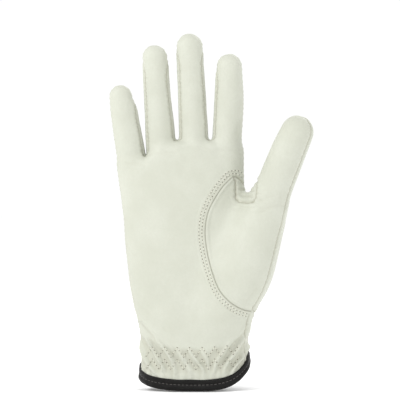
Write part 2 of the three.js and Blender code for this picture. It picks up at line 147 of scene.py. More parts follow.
def digit_knots(digit):
    """Centres and radii up a finger or thumb: above its first fold, round its second and at the tip."""
    low, high = joint_point(f"{digit}_base_bend"), joint_point(SECOND_FOLD[digit])
    axis = unit(high - low)
    lower, upper = stretch_nodes(digit, "lower"), stretch_nodes(digit, "upper")
    first = ring_at(lower, low + axis * SECTION_OFFSET, axis)
    second = ring_at(lower, high - axis * SECTION_OFFSET, axis)
    third = ring_at(upper, high + axis * SECTION_OFFSET, axis)
    top = max(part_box(name)[1].z for name in upper) / MM
    centre = np.array(third[:3])
    halfway = ring_at(upper, centre + axis * (top - centre[2]) / 2, axis)
    tip_axis = unit(np.array(halfway[:3]) - centre)
    radius = halfway[3] - TIP_LOSS
    reach = (top - radius - centre[2]) / tip_axis[2]
    return [first, second, third, [*(centre + tip_axis * reach), radius]]


KNOTS = {name: digit_knots(name) for name in DIGITS}


# ---- hand form: a distance field, negative inside ----

# Centres and radii (x, y, z, r) of the thumb's form from the heel of the hand up to its first fold.
HEEL_KNOTS = [[17, -4, 50, 17.0], [30.2, -9, 75, 20.0], [38.3, -12, 95, 18.0], [45.2, -13.6, 115, 15.4]]
FINGER_ROOT_DEPTH = 30       # a finger's form reaches this far down into the palm
FINGER_ROOTS = {             # sideways shift and radius of a finger's form at its lower end
    "little": (5.0, 9.6), "ring": (2.2, 10.4), "middle": (0.8, 10.4), "index": (-1.4, 10.4),
}
FINGER_BLEND = 2.8           # rounding between the palm and the fingers
FINGERS_FROM, THUMB_FROM = 125, -12   # fingers matter above this height, the thumb right of this X
OUT_OF_REACH = 1e3
THUMB_BLEND = ([95, 118, 134, 146], [14.0, 14.0, 13.0, 6.0])   # rounding round the thumb, by height
FORM_MARGIN, FORM_BOTTOM = 4, -7      # room round the form's grid, and the height that it starts at
RELAXING_ROUNDS = 6
PALM_HEIGHTS = (24, 33, 43, 57, 76, 96, 119, 137, 149)
PALM_EXPONENT = 2.45         # how square the palm's section is: 2 would be an ellipse
WRIST_FLARE = 1.2            # growth of the wrist's half depth from the first height down to the hem
PALM_MIDDLE = (-8, 12)       # its depth is measured round this X, this far to each side
THUMB_SPAN = (50, 145)       # the palm's right edge is hidden by the thumb between these heights
CORNER = 7.0                 # rounding between the palm's faces and the finger roots
WEB_NAMES = ("little_ring_web", "ring_middle_web", "middle_index_web")


def web_points():
    """The bottom of each gap between fingers, as X and Z."""
    points = []
    for name in WEB_NAMES:
        low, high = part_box(name)
        points.append(((low.x + high.x) / 2 / MM, low.z / MM + 8.0))
    return points


WEBS = web_points()


def palm_stations():
    """Height, centre and half width in X, centre and half depth in Y."""
    rows = []
    for height in PALM_HEIGHTS:
        ring = node_crossings(["palm_panel", "back_panel"], UP * height, UP)
        palm = node_crossings(["palm_panel"], UP * height, UP)
        middle = ring[np.abs(ring[:, 0] - PALM_MIDDLE[0]) < PALM_MIDDLE[1]]
        front, back = middle[:, 1].min(), middle[:, 1].max()
        rows.append([height, ring[:, 0].min(), palm[:, 0].max(), front, back])
    rows = np.array(rows)
    clear = (rows[:, 0] < THUMB_SPAN[0]) | (rows[:, 0] > THUMB_SPAN[1])
    rows[:, 2] = np.interp(rows[:, 0], rows[clear, 0], rows[clear, 2])
    centre_x, half_x = (rows[:, 2] + rows[:, 1]) / 2, (rows[:, 2] - rows[:, 1]) / 2
    centre_y, half_y = (rows[:, 4] + rows[:, 3]) / 2, (rows[:, 4] - rows[:, 3]) / 2
    table = np.stack([rows[:, 0], centre_x, half_x, centre_y, half_y], 1)
    hem = table[0] + (-24, 0, 0.5, 0.3, WRIST_FLARE)
    below = table[0] + (-36, 0, 0.5, 0.3, WRIST_FLARE)
    above = table[-1] + (14, 0, 0, 0, -2.2)
    return np.vstack([below, hem, table, above])


PALM = palm_stations()
PALM_TOP_STEPS = (           # a gap's number, and how far to the right of its bottom and above it
    (0, -28, -10), (0, -18, -8), (0, 0, -8), (0, 10, 2),
    (1, 0, -2.4), (2, 0, -6.5), (2, 12, -5), (2, 24, -9),
)
PALM_TOP = [(WEBS[gap][0] + right, WEBS[gap][1] + up) for gap, right, up in PALM_TOP_STEPS]


def smooth_min(a, b, k):
    """The smaller of two fields, rounded where they are closer than k."""
    h = np.clip(0.5 + 0.5 * (b - a) / k, 0, 1)
    return b + (a - b) * h - k * h * (1 - h)


def ramp(value, start, end):
    """A smooth step from 0 at the start to 1 at the end."""
    t = np.clip((value - start) / (end - start), 0, 1)
    return t * t * (3 - 2 * t)


def bell(d, centre, width):
    """A smooth bump of height 1."""
    return np.exp(-(((d - centre) / width) ** 2))


def curve_at(height, heights, values):
    """A smooth curve through the values, at each height."""
    slopes = np.gradient(values, heights)
    i = np.clip(np.searchsorted(heights, height) - 1, 0, len(heights) - 2)
    span = heights[i + 1] - heights[i]
    t = np.clip((height - heights[i]) / span, 0, 1)
    start = (2 * t**3 - 3 * t**2 + 1) * values[i] + (t**3 - 2 * t**2 + t) * slopes[i] * span
    return start + (3 * t**2 - 2 * t**3) * values[i + 1] + (t**3 - t**2) * slopes[i + 1] * span


def tube_distance(p, knots, flattening):
    """Distance to a tapering tube with round ends that follows the knots (x, y, z, r) smoothly."""
    table = np.array(knots)
    axis = unit(table[-1, :3] - table[0, :3])
    stops = (table[:, :3] - table[0, :3]) @ axis
    along = np.clip((p - table[0, :3]) @ axis, stops[0], stops[-1])
    centre = np.stack([curve_at(along, stops, table[:, i]) for i in range(3)], 1)
    q = p - centre
    q[:, 1] *= flattening
    return np.sqrt((q * q).sum(1)) - curve_at(along, stops, table[:, 3])


def finger_chain(name):
    """A finger's knots, with one more inside the palm below them."""
    knots = KNOTS[name]
    shift, radius = FINGER_ROOTS[name]
    root = np.array(knots[0][:3]) + (shift, 0, -FINGER_ROOT_DEPTH)
    return [[*root, radius], *knots]


CHAINS = {name: finger_chain(name) for name in FINGERS}
CHAINS["thumb"] = [*HEEL_KNOTS, *KNOTS["thumb"]]


def palm_distance(p):
    """Distance to the palm: a squarish tube up the hand, closed below the gaps between the fingers."""
    x, y, z = p.T
    cx, ax, cy, ay = (curve_at(z, PALM[:, 0], PALM[:, i]) for i in range(1, 5))
    u = np.maximum(np.abs(x - cx) / ax, 1e-4)
    v = np.maximum(np.abs(y - cy) / ay, 1e-4)
    n = PALM_EXPONENT
    size = u**n + v**n
    slope = size ** (1 / n - 1) * np.sqrt((u ** (n - 1) / ax) ** 2 + (v ** (n - 1) / ay) ** 2)
    side = (size ** (1 / n) - 1) / np.maximum(slope, 0.02)
    top = z - np.interp(x, *zip(*PALM_TOP))
    return -smooth_min(-side, -top, CORNER)


def hand_distance(p):
    """The whole hand's form. Digits are left out where they are too far away to matter."""
    fingers, thumb = np.full((2, len(p)), OUT_OF_REACH)
    high = p[:, 2] > FINGERS_FROM
    for name in FINGERS:
        fingers[high] = np.minimum(fingers[high], tube_distance(p[high], CHAINS[name], FINGER_FLATTENING))
    right = p[:, 0] > THUMB_FROM
    thumb[right] = tube_distance(p[right], CHAINS["thumb"], THUMB_FLATTENING)
    form = smooth_min(palm_distance(p), fingers, FINGER_BLEND)
    return smooth_min(form, thumb, np.interp(p[:, 2], *THUMB_BLEND))


def form_mesh():
    """The surface of the hand form as triangles, evenly spaced on it."""
    low = np.array(cad_box[0]) / MM - FORM_MARGIN
    high = np.array(cad_box[1]) / MM + FORM_MARGIN
    low[2] = FORM_BOTTOM
    counts = np.ceil((high - low) / VOXEL).astype(int)
    axes = [low[i] + VOXEL * np.arange(counts[i]) for i in range(3)]
    field = np.empty(tuple(counts), np.float32)
    x, y = np.meshgrid(axes[0], axes[1], indexing="ij")
    for k, height in enumerate(axes[2]):
        plane = np.stack([x.ravel(), y.ravel(), np.full(x.size, height)], 1)
        field[:, :, k] = hand_distance(plane).reshape(x.shape)
    grid = openvdb.FloatGrid(float(VOXEL * 3))
    grid.copyFromArray(np.clip(field, -3 * VOXEL, 3 * VOXEL))
    points, quads = grid.convertToQuads()
    points = points.astype(float) * VOXEL + low
    quads = quads.astype(int)
    links = np.concatenate([quads[:, [i, (i + 1) % 4]] for i in range(4)])
    links = np.concatenate([links, links[:, ::-1]])
    counts = np.bincount(links[:, 0], minlength=len(points))
    for _ in range(RELAXING_ROUNDS):
        points = settle(points, hand_distance)
        totals = [np.bincount(links[:, 0], points[links[:, 1], i], len(points)) for i in range(3)]
        points += (np.stack(totals, 1) / counts[:, None] - points) * 0.5
    points = settle(points, hand_distance)
    return points, halves(points, quads)


def gradient(function, p, step=0.05):
    """A field's value and slope at each point."""
    centre = function(p)
    slopes = [(function(p + np.eye(3)[i] * step) - centre) / step for i in range(3)]
    return centre, np.stack(slopes, 1)


def settle(p, function):
    """Points moved onto the zero level of a field."""
    value, slope = gradient(function, p)
    return p - slope * (value / np.maximum((slope**2).sum(1), 0.05))[:, None]


def halves(p, quads):
    """Each quad as two triangles, split along its shorter diagonal."""
    a, b, c, d = quads.T
    shorter = np.linalg.norm(p[a] - p[c], axis=1) <= np.linalg.norm(p[b] - p[d], axis=1)
    one = np.where(shorter[:, None], np.stack([a, b, c], 1), np.stack([a, b, d], 1))
    two = np.where(shorter[:, None], np.stack([a, c, d], 1), np.stack([b, c, d], 1))
    return np.concatenate([one, two])


# ---- seam lines, in the plane of the hand (X and Z) ----

THUMB_SEAM = [
    (36.8, 52.2), (30.7, 53.9), (23.9, 58), (17.2, 64.8), (11.4, 78), (7.8, 92), (6.4, 106),
    (8.4, 118), (13.4, 128), (18.8, 135.7), (24.6, 141.4),
]
CROTCH_SEAM = [
    (24.6, 141.4), (27.0, 138.6), (27.2, 126.4), (29.0, 124.6), (35.0, 124.0), (38.6, 125.2), (40.0, 128),
]
GUSSET_SIDE = [(41.0, 140.5), (31.5, 141.4)]
THUMB_SIDE_SEAM = [
    (34.6, 0), (33.4, 20), (33.0, 30), (33.8, 42), (36.6, 52.2), (41.0, 59.3), (44.0, 65.4), (47.6, 74.0),
    (50.4, 84.5), (54.0, 99), (58.5, 115), (61.4, 126), (64.4, 136), (67.2, 145), (74.0, 174),
]
BACK_THUMB_SEAM = [
    (60, 50.5), (40, 51), (36, 58), (34.6, 72), (34.2, 90), (34.6, 108), (35.8, 121), (37, 131),
]
FOURCHETTE = 4.3             # half width of the strip between a finger's front and back
FOURCHETTE_STOP = 5.5        # the strip ends this far below the fingertip
FOURCHETTE_TAPER = 16        # and narrows over this length below that
THUMB_SEAM_TURN = 0.62       # how far the thumb's outer seam is turned towards the palm
THUMB_SEAM_RISE = (98, 126)  # it passes from the heel's line to the thumb's own between these heights
LITTLE_SEAM_DROP = 2.0       # the little finger's outer seam lies this much further forward on the palm

HEM_TILT = 0.34              # the hem climbs this much for each millimetre towards the back
HEM_FRONT_Y, HEM_FRONT_Z = -20.6, 0.4
HEM_RISE_RIGHT, HEM_RISE_LEFT = 9.5, 0.2   # how far it also curls up at its two sides
HEM_HALF = 36                # half width of the hem
HEM_INSET = 2.6              # the leather ends this far above the binding's lower edge
SLIT = {"x": -2, "low": 5.0, "high": 1.6, "top": 66}   # place, half widths and height of the slit


def smooth_line(points, step=1.5):
    """A finer line that passes smoothly through the points."""
    p = np.array(points, float)
    span = np.concatenate([[0], np.cumsum(np.linalg.norm(np.diff(p, axis=0), axis=1))])
    at = np.linspace(0, span[-1], max(int(span[-1] / step), 2))
    return np.stack([curve_at(at, span, p[:, i]) for i in range(p.shape[1])], 1)


def from_segment(q, start, along):
    """The offset of each point from the nearest point of a straight piece of a line."""
    share = np.clip((q - start) @ along / (along @ along), 0, 1)
    return q - start - share[:, None] * along


def line_distance(q, line):
    """Distance of 2D points to an open line, positive on its right side."""
    best = np.full(len(q), 1e9)
    side = np.ones(len(q))
    for a, b in zip(line[:-1], line[1:]):
        a, b = np.asarray(a, float), np.asarray(b, float)
        along = b - a
        distance = (from_segment(q, a, along) ** 2).sum(1)
        closer = distance < best - 1e-9
        cross = along[0] * (q[:, 1] - a[1]) - along[1] * (q[:, 0] - a[0])
        best = np.where(closer, distance, best)
        side = np.where(closer, np.where(cross < 0, 1.0, -1.0), side)
    return np.sqrt(best) * side


def area_distance(q, outline):
    """Distance of 2D points to a closed outline, negative inside."""
    ring = [*outline, outline[0]]
    inside = np.zeros(len(q), bool)
    for (x0, z0), (x1, z1) in zip(ring[:-1], ring[1:]):
        crosses = (q[:, 1] < z0) != (q[:, 1] < z1)
        at = x0 + (q[:, 1] - z0) * (x1 - x0) / (z1 - z0 if z1 != z0 else 1)
        inside ^= crosses & (q[:, 0] < at)
    return np.abs(line_distance(q, ring)) * np.where(inside, -1.0, 1.0)


THUMB_LINE = smooth_line(THUMB_SEAM)
THUMB_AREA = [*THUMB_LINE, *CROTCH_SEAM[1:], GUSSET_SIDE[0], (60, 190), (110, 190), (110, 52.2)]
GUSSET_AREA = [*CROTCH_SEAM, *GUSSET_SIDE]
SIDE_LINE = smooth_line(THUMB_SIDE_SEAM)
BACK_LINE = smooth_line(BACK_THUMB_SEAM)
BACK_AREA = [*BACK_LINE, (38, 200), (120, 200), (120, 50.5)]
PALM_END = 140               # leather above this height belongs to a finger
THUMB_START, THUMB_REACH = 33.5, 20   # and to the thumb right of this X, this near to its centre line
FAR = 9.0                    # a field's value where its line has no business
SNAP = 0.33                  # points this close to a cut are moved onto it
STEEPEST = 3.5               # a triangle over which a field changes more than this isn't cut
PALM_SIDE, BACK_SIDE, THUMB_FRONT, THUMB_BACK, GUSSET, WEB = range(6)   # panels; a web for each gap
PANEL_COUNT = WEB + 3


# ---- fields whose zero lines are the seams ----

def within(near, p, function):
    """A field that is worked out at the near points only."""
    field = np.full(len(p), FAR)
    field[near] = function(p[near])
    return field


def finger_frame(p):
    """The nearest finger's number, and the offsets across and behind its centre line."""
    chains = [np.array(CHAINS[name]).T for name in FINGERS]
    across, behind = (
        np.stack([p[:, i] - np.interp(p[:, 2], chain[2], chain[i]) for chain in chains]) for i in (0, 1)
    )
    number = np.abs(across).argmin(0)
    here = np.arange(len(p))
    return number, across[number, here], behind[number, here]


def thumb_frame(p):
    """Offsets across and behind the thumb's centre line."""
    best = np.full(len(p), 1e9)
    across, behind = np.zeros(len(p)), np.zeros(len(p))
    knots = CHAINS["thumb"]
    for a, b in zip(knots[1:-1], knots[2:]):
        along = np.array(b[:3]) - np.array(a[:3])
        off = from_segment(p, np.array(a[:3]), along)
        distance = (off**2).sum(1)
        x = unit(np.cross((0.0, 1.0, 0.0), along))
        y = np.cross(unit(along), x)
        closer = distance < best
        best = np.where(closer, distance, best)
        across = np.where(closer, off @ x, across)
        behind = np.where(closer, off @ y, behind)
    return across, behind


def hem_height(x, y):
    """The height of the binding's lower edge."""
    climb = np.maximum(0, y - HEM_FRONT_Y) * HEM_TILT
    rise = np.where(x > 0, HEM_RISE_RIGHT, HEM_RISE_LEFT)
    return HEM_FRONT_Z + climb + rise * np.minimum(np.abs(x) / HEM_HALF, 1.2) ** 4


def hem_field(p):
    """Positive above the leather's lower edge."""
    return p[:, 2] - hem_height(p[:, 0], p[:, 1]) - HEM_INSET


def slit_field(p):
    """Negative inside the slit at the back of the wrist."""
    half = np.interp(p[:, 2], [0, SLIT["top"]], [SLIT["low"], SLIT["high"]])
    beyond = np.maximum(p[:, 2] - SLIT["top"], 0)
    across = np.abs(p[:, 0] - SLIT["x"])
    return np.where(p[:, 1] > 4, np.sqrt(across**2 + beyond**2) - half, FAR)


def thumb_front_field(p):
    """Negative on the front of the thumb and its heel."""
    q = p[:, [0, 2]]
    heel = np.maximum(line_distance(q, SIDE_LINE), p[:, 1] + 4 + 0.14 * (p[:, 2] - 50))
    across, behind = thumb_frame(p)
    upper = behind + THUMB_SEAM_TURN * across
    share = ramp(p[:, 2], *THUMB_SEAM_RISE)
    return heel * (1 - share) + upper * share


def inset_field(p):
    """Negative on the thumb's front panel."""
    def field(q):
        return np.maximum(area_distance(q[:, [0, 2]], THUMB_AREA), thumb_front_field(q))

    return within((p[:, 0] > 2) & (p[:, 2] > 48), p, field)


def gusset_field(p):
    """Negative on the gusset between the thumb and the palm."""
    def field(q):
        behind = q[:, 1] - 2.0 + 0.9 * np.maximum(q[:, 2] - 130, 0)
        return np.maximum(area_distance(q[:, [0, 2]], GUSSET_AREA), behind)

    return within((p[:, 0] > 20) & (np.abs(p[:, 2] - 131) < 14), p, field)


def thumb_back_field(p):
    """Negative on the thumb's back panel."""
    def field(q):
        other = np.minimum(inset_field(q), gusset_field(q))
        return np.maximum(area_distance(q[:, [0, 2]], BACK_AREA), -other)

    return within((p[:, 0] > 28) & (p[:, 2] > 44), p, field)


def side_depth(p):
    """How far behind the side seam's middle, the half width of the fourchette there, and the thumb."""
    number, across, behind = finger_frame(p)
    tips = np.array([CHAINS[n][-1][2] + CHAINS[n][-1][3] for n in FINGERS])[number]
    width = FOURCHETTE * ramp(tips - FOURCHETTE_STOP - p[:, 2], 0, FOURCHETTE_TAPER)
    below = p[:, 2] < PALM_END
    little_side = (number == 0) & ((across < 0) | below)
    outer = little_side | ((number == 3) & (across > 0))
    width = np.where(outer | below, 0, width)
    behind = behind + np.where(little_side, LITTLE_SEAM_DROP * ramp(-p[:, 2], -150, -90), 0)
    wrist = (p[:, 0] > 0) & (p[:, 2] < 60)
    field = line_distance(p[:, [0, 2]], SIDE_LINE)
    behind = np.where(wrist, np.maximum(field, p[:, 1] - 0.5), behind)
    in_thumb = (p[:, 0] > 30) & (p[:, 2] > 54) & (thumb_back_field(p) < -1)
    return behind, width, in_thumb


def edge_field(side):
    """The edge of the palm side's leather (1) or of the back's (-1)."""
    def field(p):
        behind, width, skip = side_depth(p)
        return np.where(skip, FAR, behind + side * width)

    return field


class Fold:
    """One hinge of a digit: its point, the direction along the digit and how far its ends reach."""

    def __init__(self, joint, along, reach):
        self.point = joint_point(joint)
        self.along = unit(along)
        self.reach = reach
        self.bodies = (JOINTS[joint]["parent"], JOINTS[joint]["child"])

    def height(self, p):
        return (p - self.point) @ self.along

    def ends(self):
        return [Vector((self.point + self.along * side * self.reach) * MM) for side in (-1, 1)]


def digit_folds(digit):
    first, second = f"{digit}_base_bend", SECOND_FOLD[digit]
    low_axis = joint_point(second) - joint_point(first)
    high_axis = np.array(KNOTS[digit][3][:3]) - np.array(KNOTS[digit][2][:3])
    reach = min(FOLD_REACH, np.linalg.norm(low_axis) / 2 - 0.6)
    return Fold(first, low_axis, reach), Fold(second, high_axis, reach)


FOLDS = {digit: digit_folds(digit) for digit in DIGITS}


def digit_of(p):
    """The digit that each point belongs to: a number into DIGITS, or -1 on the palm."""
    on_thumb = (p[:, 0] > THUMB_START) & (np.abs(thumb_frame(p)[0]) < THUMB_REACH)
    finger = np.where(p[:, 2] > PALM_END, finger_frame(p)[0], -1)
    return np.where(on_thumb, DIGITS.index("thumb"), finger)


def split_field(digit, level):
    """Zero where a digit's leather is divided between two bodies: level 0 is its root, 1 its middle."""
    low, high = FOLDS[digit]
    place = (-low.reach, np.linalg.norm(high.point - low.point) / 2)[level]

    def field(p):
        return np.where(digit_of(p) == DIGITS.index(digit), low.height(p) - place, FAR)

    return field


# ---- cutting the form ----

def snap(p, value, locked, function):
    """Moves the free points beside a field's zero line onto it, and sets their value to zero."""
    near = (np.abs(value) < SNAP) & ~locked
    centre, slope = gradient(function, p[near])
    out = unit(gradient(hand_distance, p[near])[1])
    slope -= out * (slope * out).sum(1)[:, None]
    size = (slope**2).sum(1)
    move = -slope * (centre / np.maximum(size, 0.1))[:, None]
    good = (size > 0.25) & (size < 4) & (np.linalg.norm(move, axis=1) < SNAP * 1.8)
    where = np.flatnonzero(near)[good]
    p = p.copy()
    p[where] = settle(p[where] + move[good], hand_distance)
    value[where] = 0
    value[np.abs(value) < np.where(locked, 0.12, 0.02)] = 0
    return p, value


def cut(p, tris, locked, function):
    """Adds edges along a field's zero line. Returns points, triangles and which points lie on a line."""
    p, value = snap(p, function(p), locked, function)
    locked = locked | (value == 0)
    sign = np.sign(value)
    corners = sign[tris]
    values = value[tris]
    crossing = (corners.min(1) < 0) & (corners.max(1) > 0) & (np.ptp(values, axis=1) < STEEPEST)
    keep, work = tris[~crossing], tris[crossing]
    on_line = sign[work] == 0
    zero = on_line.any(1)
    odd_one = sign[work] * sign[work].sum(1)[:, None] < 0
    lone = np.where(zero, on_line.argmax(1), odd_one.argmax(1))
    rows = np.arange(len(work))
    work = np.stack([work[rows, (lone + i) % 3] for i in range(3)], 1)
    first, others = work[zero], work[~zero]
    pairs = np.concatenate([first[:, [1, 2]], others[:, [0, 1]], others[:, [0, 2]]])
    pairs = np.sort(pairs, axis=1)
    unique, index = np.unique(pairs, axis=0, return_inverse=True)
    index = index.ravel() + len(p)
    share = value[unique[:, 0]] / (value[unique[:, 0]] - value[unique[:, 1]])
    new = p[unique[:, 0]] + (p[unique[:, 1]] - p[unique[:, 0]]) * share[:, None]
    n, m = len(first), len(others)
    middle, one, two = index[:n], index[n:n + m], index[n + m:]
    pieces = [
        keep,
        np.stack([first[:, 0], first[:, 1], middle], 1), np.stack([first[:, 0], middle, first[:, 2]], 1),
        np.stack([others[:, 0], one, two], 1), np.stack([one, others[:, 1], others[:, 2]], 1),
        np.stack([one, others[:, 2], two], 1),
    ]
    locked = np.concatenate([locked, np.ones(len(new), bool)])
    return np.concatenate([p, new]), np.concatenate(pieces), locked


def drop_unused(p, tris, *arrays):
    """The points that the triangles use, the triangles renumbered, and the same rows of other arrays."""
    used = np.unique(tris)
    index = np.full(len(p), -1)
    index[used] = np.arange(len(used))
    return (p[used], index[tris], *[a[used] for a in arrays])


def cut_panels():
    """The form's triangles, cut at every seam and body split, with a panel and a stretch for each."""
    p, tris = form_mesh()
    locked = np.zeros(len(p), bool)
    for function in (hem_field, slit_field):
        p, tris, locked = cut(p, tris, locked, function)
        tris = tris[function(p[tris].mean(1)) > 0]
        p, tris, locked = drop_unused(p, tris, locked)
    palm_edge, back_edge = edge_field(1), edge_field(-1)
    splits = [split_field(digit, level) for digit in DIGITS for level in (0, 1)]
    for function in (inset_field, gusset_field, thumb_back_field, palm_edge, back_edge, *splits):
        p, tris, locked = cut(p, tris, locked, function)
    centre = p[tris].mean(1)
    number, across, _ = finger_frame(centre)
    gap = np.where(across > 0, number, number - 1)
    panel = WEB + np.clip(gap, 0, 2)
    panel = np.where(back_edge(centre) > 0, BACK_SIDE, panel)
    insides = {
        PALM_SIDE: palm_edge, THUMB_BACK: thumb_back_field, GUSSET: gusset_field, THUMB_FRONT: inset_field,
    }
    for kind, function in insides.items():
        panel = np.where(function(centre) < 0, kind, panel)
    stretch = np.zeros(len(tris), int)
    digit = digit_of(centre)
    for i, function in enumerate(splits):
        stretch[(digit == i // 2) & (function(centre) > 0)] = 1 + i
    return p, tris, panel, stretch


# ---- surface detail: the leather's relief along its own normal ----

# The wrist's zigzag rows: heights, width of a zigzag, its height, half the row's length, rise at its end.
WRIST = {"rows": (17.4, 25.4), "pitch": 8.25, "height": 6.2, "half": 32.4, "lift": 2.5}
SEAM_ROWS = (1.8, 3.8)       # distances of the two topstitch rows from the thumb seam
CREASES = [                  # ends (x, z) of each crease, its depth and its half width
    ((-46, 150), (-33, 148.5), 0.22, 1.2), ((-31, 155), (-13, 157), 0.18, 1.4),
    ((-9, 160), (10, 160), 0.16, 1.4), ((12, 158), (31, 156), 0.16, 1.4),
    ((44, 119), (58, 122.5), 0.30, 1.6), ((42, 125.5), (52, 129), 0.22, 1.3),
    ((-44, 62), (-20, 40), 0.22, 2.0), ((-47, 96), (-38, 88), 0.15, 1.8),
    ((34, 60), (40, 68), 0.2, 1.3), ((-36, 44), (-11, 20), 0.70, 1.0),
    ((-37, 36), (-22, 16), 0.55, 1.0), ((35.5, 41), (19, 19), 0.55, 1.0),
    ((-42, 52), (-26, 40), 0.18, 1.8),
]


def waves(p, seed, length, count=9):
    """Gentle unevenness: a few waves in random directions, from about -1 to 1."""
    rng = np.random.RandomState(seed)
    total = np.zeros(len(p))
    for _ in range(count):
        direction = unit(rng.normal(size=3)) * 2 * np.pi / (length * rng.uniform(0.7, 1.5))
        total += np.sin(p @ direction + rng.uniform(0, 2 * np.pi))
    return total / math.sqrt(count) * 0.8


def face_normals(p, tris):
    return np.cross(p[tris[:, 1]] - p[tris[:, 0]], p[tris[:, 2]] - p[tris[:, 0]])


def vertex_normals(p, tris):
    faces = face_normals(p, tris)
    total = np.zeros_like(p)
    for corner in range(3):
        for axis in range(3):
            total[:, axis] += np.bincount(tris[:, corner], faces[:, axis], len(p))
    return unit(total)


def nearest_distance(p, points):
    tree = kdtree.KDTree(len(points))
    for i, point in enumerate(points):
        tree.insert(point, i)
    tree.balance()
    return np.array([tree.find(point)[2] for point in p])


def row_height(x, row):
    """The middle height of a zigzag row."""
    return WRIST["rows"][row] + WRIST["lift"] * (np.maximum(x, 0) / WRIST["half"]) ** 2


def zigzag_points(row):
    """Corners of a multi-step zigzag along the wrist, three stitches to a leg."""
    half, step = WRIST["half"], WRIST["pitch"] / 2
    xs = np.arange(-half, half + 0.01, step)
    flip = np.where(np.arange(len(xs)) % 2 == 0, -1, 1) * WRIST["height"] / 2
    corners = np.stack([xs, row_height(xs, row) + flip], 1)
    fine = [corners[0]]
    for a, b in zip(corners[:-1], corners[1:]):
        fine.extend(a + (b - a) * share for share in (1 / 3, 2 / 3, 1))
    return np.array(fine)


def zigzag_distance(p):
    """Distance to the wrist's zigzag stitching, on the palm side."""
    near = (p[:, 1] < 2) & (np.abs(p[:, 2] - 22) < 14)
    distance = np.full(len(p), FAR)
    flat = p[near][:, [0, 2]]
    rows = [np.abs(line_distance(flat, zigzag_points(row)[::3])) for row in (0, 1)]
    distance[near] = np.minimum(*rows)
    return distance


def wrist_relief(p):
    """Puffs between the elastic's zigzag rows, creases above them and gathers down to the hem."""
    x, y, z = p.T
    middle = (row_height(x, 0) + row_height(x, 1)) / 2
    lean = 0.56 - 1.25 * ramp(x, 4, 15)
    bend = 1 + 0.22 * np.sin(x * 0.23 + 1.0)
    phase = 2 * np.pi * (x + lean * (z - middle) * bend) / WRIST["pitch"]
    phase = phase + 0.5 * np.sin(z * 0.31 + x * 0.13)
    phase = phase + 0.6 * np.sin(phase)
    top = middle + 8.5 + 8.5 * ramp(-x, 8, 33) + 5.5 * ramp(x, 14, 32)
    inside = ramp(z, middle - 13.0, middle - 6.0) * (1 - ramp(z, top - 6.5, top))
    ridges = 1.2 * (0.5 + 0.5 * np.cos(phase)) ** 2.2 - 0.35
    strength = 0.95 + 0.25 * ramp(np.abs(x), 10, 30)
    gather = np.sin(2 * np.pi * x / 4.7 + 0.6 * np.sin(x * 0.4)) * ramp(-z, -17, -11) * 0.17
    pinch = -0.35 * (bell(z, row_height(x, 0), 2.6) + bell(z, row_height(x, 1), 2.6))
    front = ramp(-y, -4, 4)
    return front * (2.3 * ridges * strength * inside + 1.7 * gather + pinch * 0.6)


def crotch_relief(p):
    """The folds in the gusset between the thumb and the palm."""
    x, _, z = p.T
    near = np.exp(-(((x - 35) / 9.5) ** 2) - (((z - 128) / 8.5) ** 2))
    folds = np.sin((z + 0.25 * (x - 34)) * 2 * np.pi / 3.6 + 1.2 * np.sin(x * 0.45))
    return near * folds * 0.55


def crease_relief(p):
    """Soft creases where the hand bends: the finger roots, the thumb's root and the heel."""
    flat = p[:, [0, 2]]
    total = np.zeros(len(p))
    for start, end, depth, width in CREASES:
        start, end = np.array(start, float), np.array(end, float)
        middle, span = (start + end) / 2, end - start
        bowed = smooth_line([start, middle + span[::-1] * (0.12, 0.10), end], 4)
        near = (np.abs(flat - middle) < np.abs(span) / 2 + 8).all(1)
        d = np.abs(line_distance(flat[near], bowed))
        total[near] += -depth * bell(d, 0, width) + 0.6 * depth * bell(d, 2.1 * width, 1.1 * width)
    return total * ramp(-p[:, 1], -1, 4)


def triangle_edges(tris):
    return np.concatenate([tris[:, [0, 1]], tris[:, [1, 2]], tris[:, [2, 0]]])


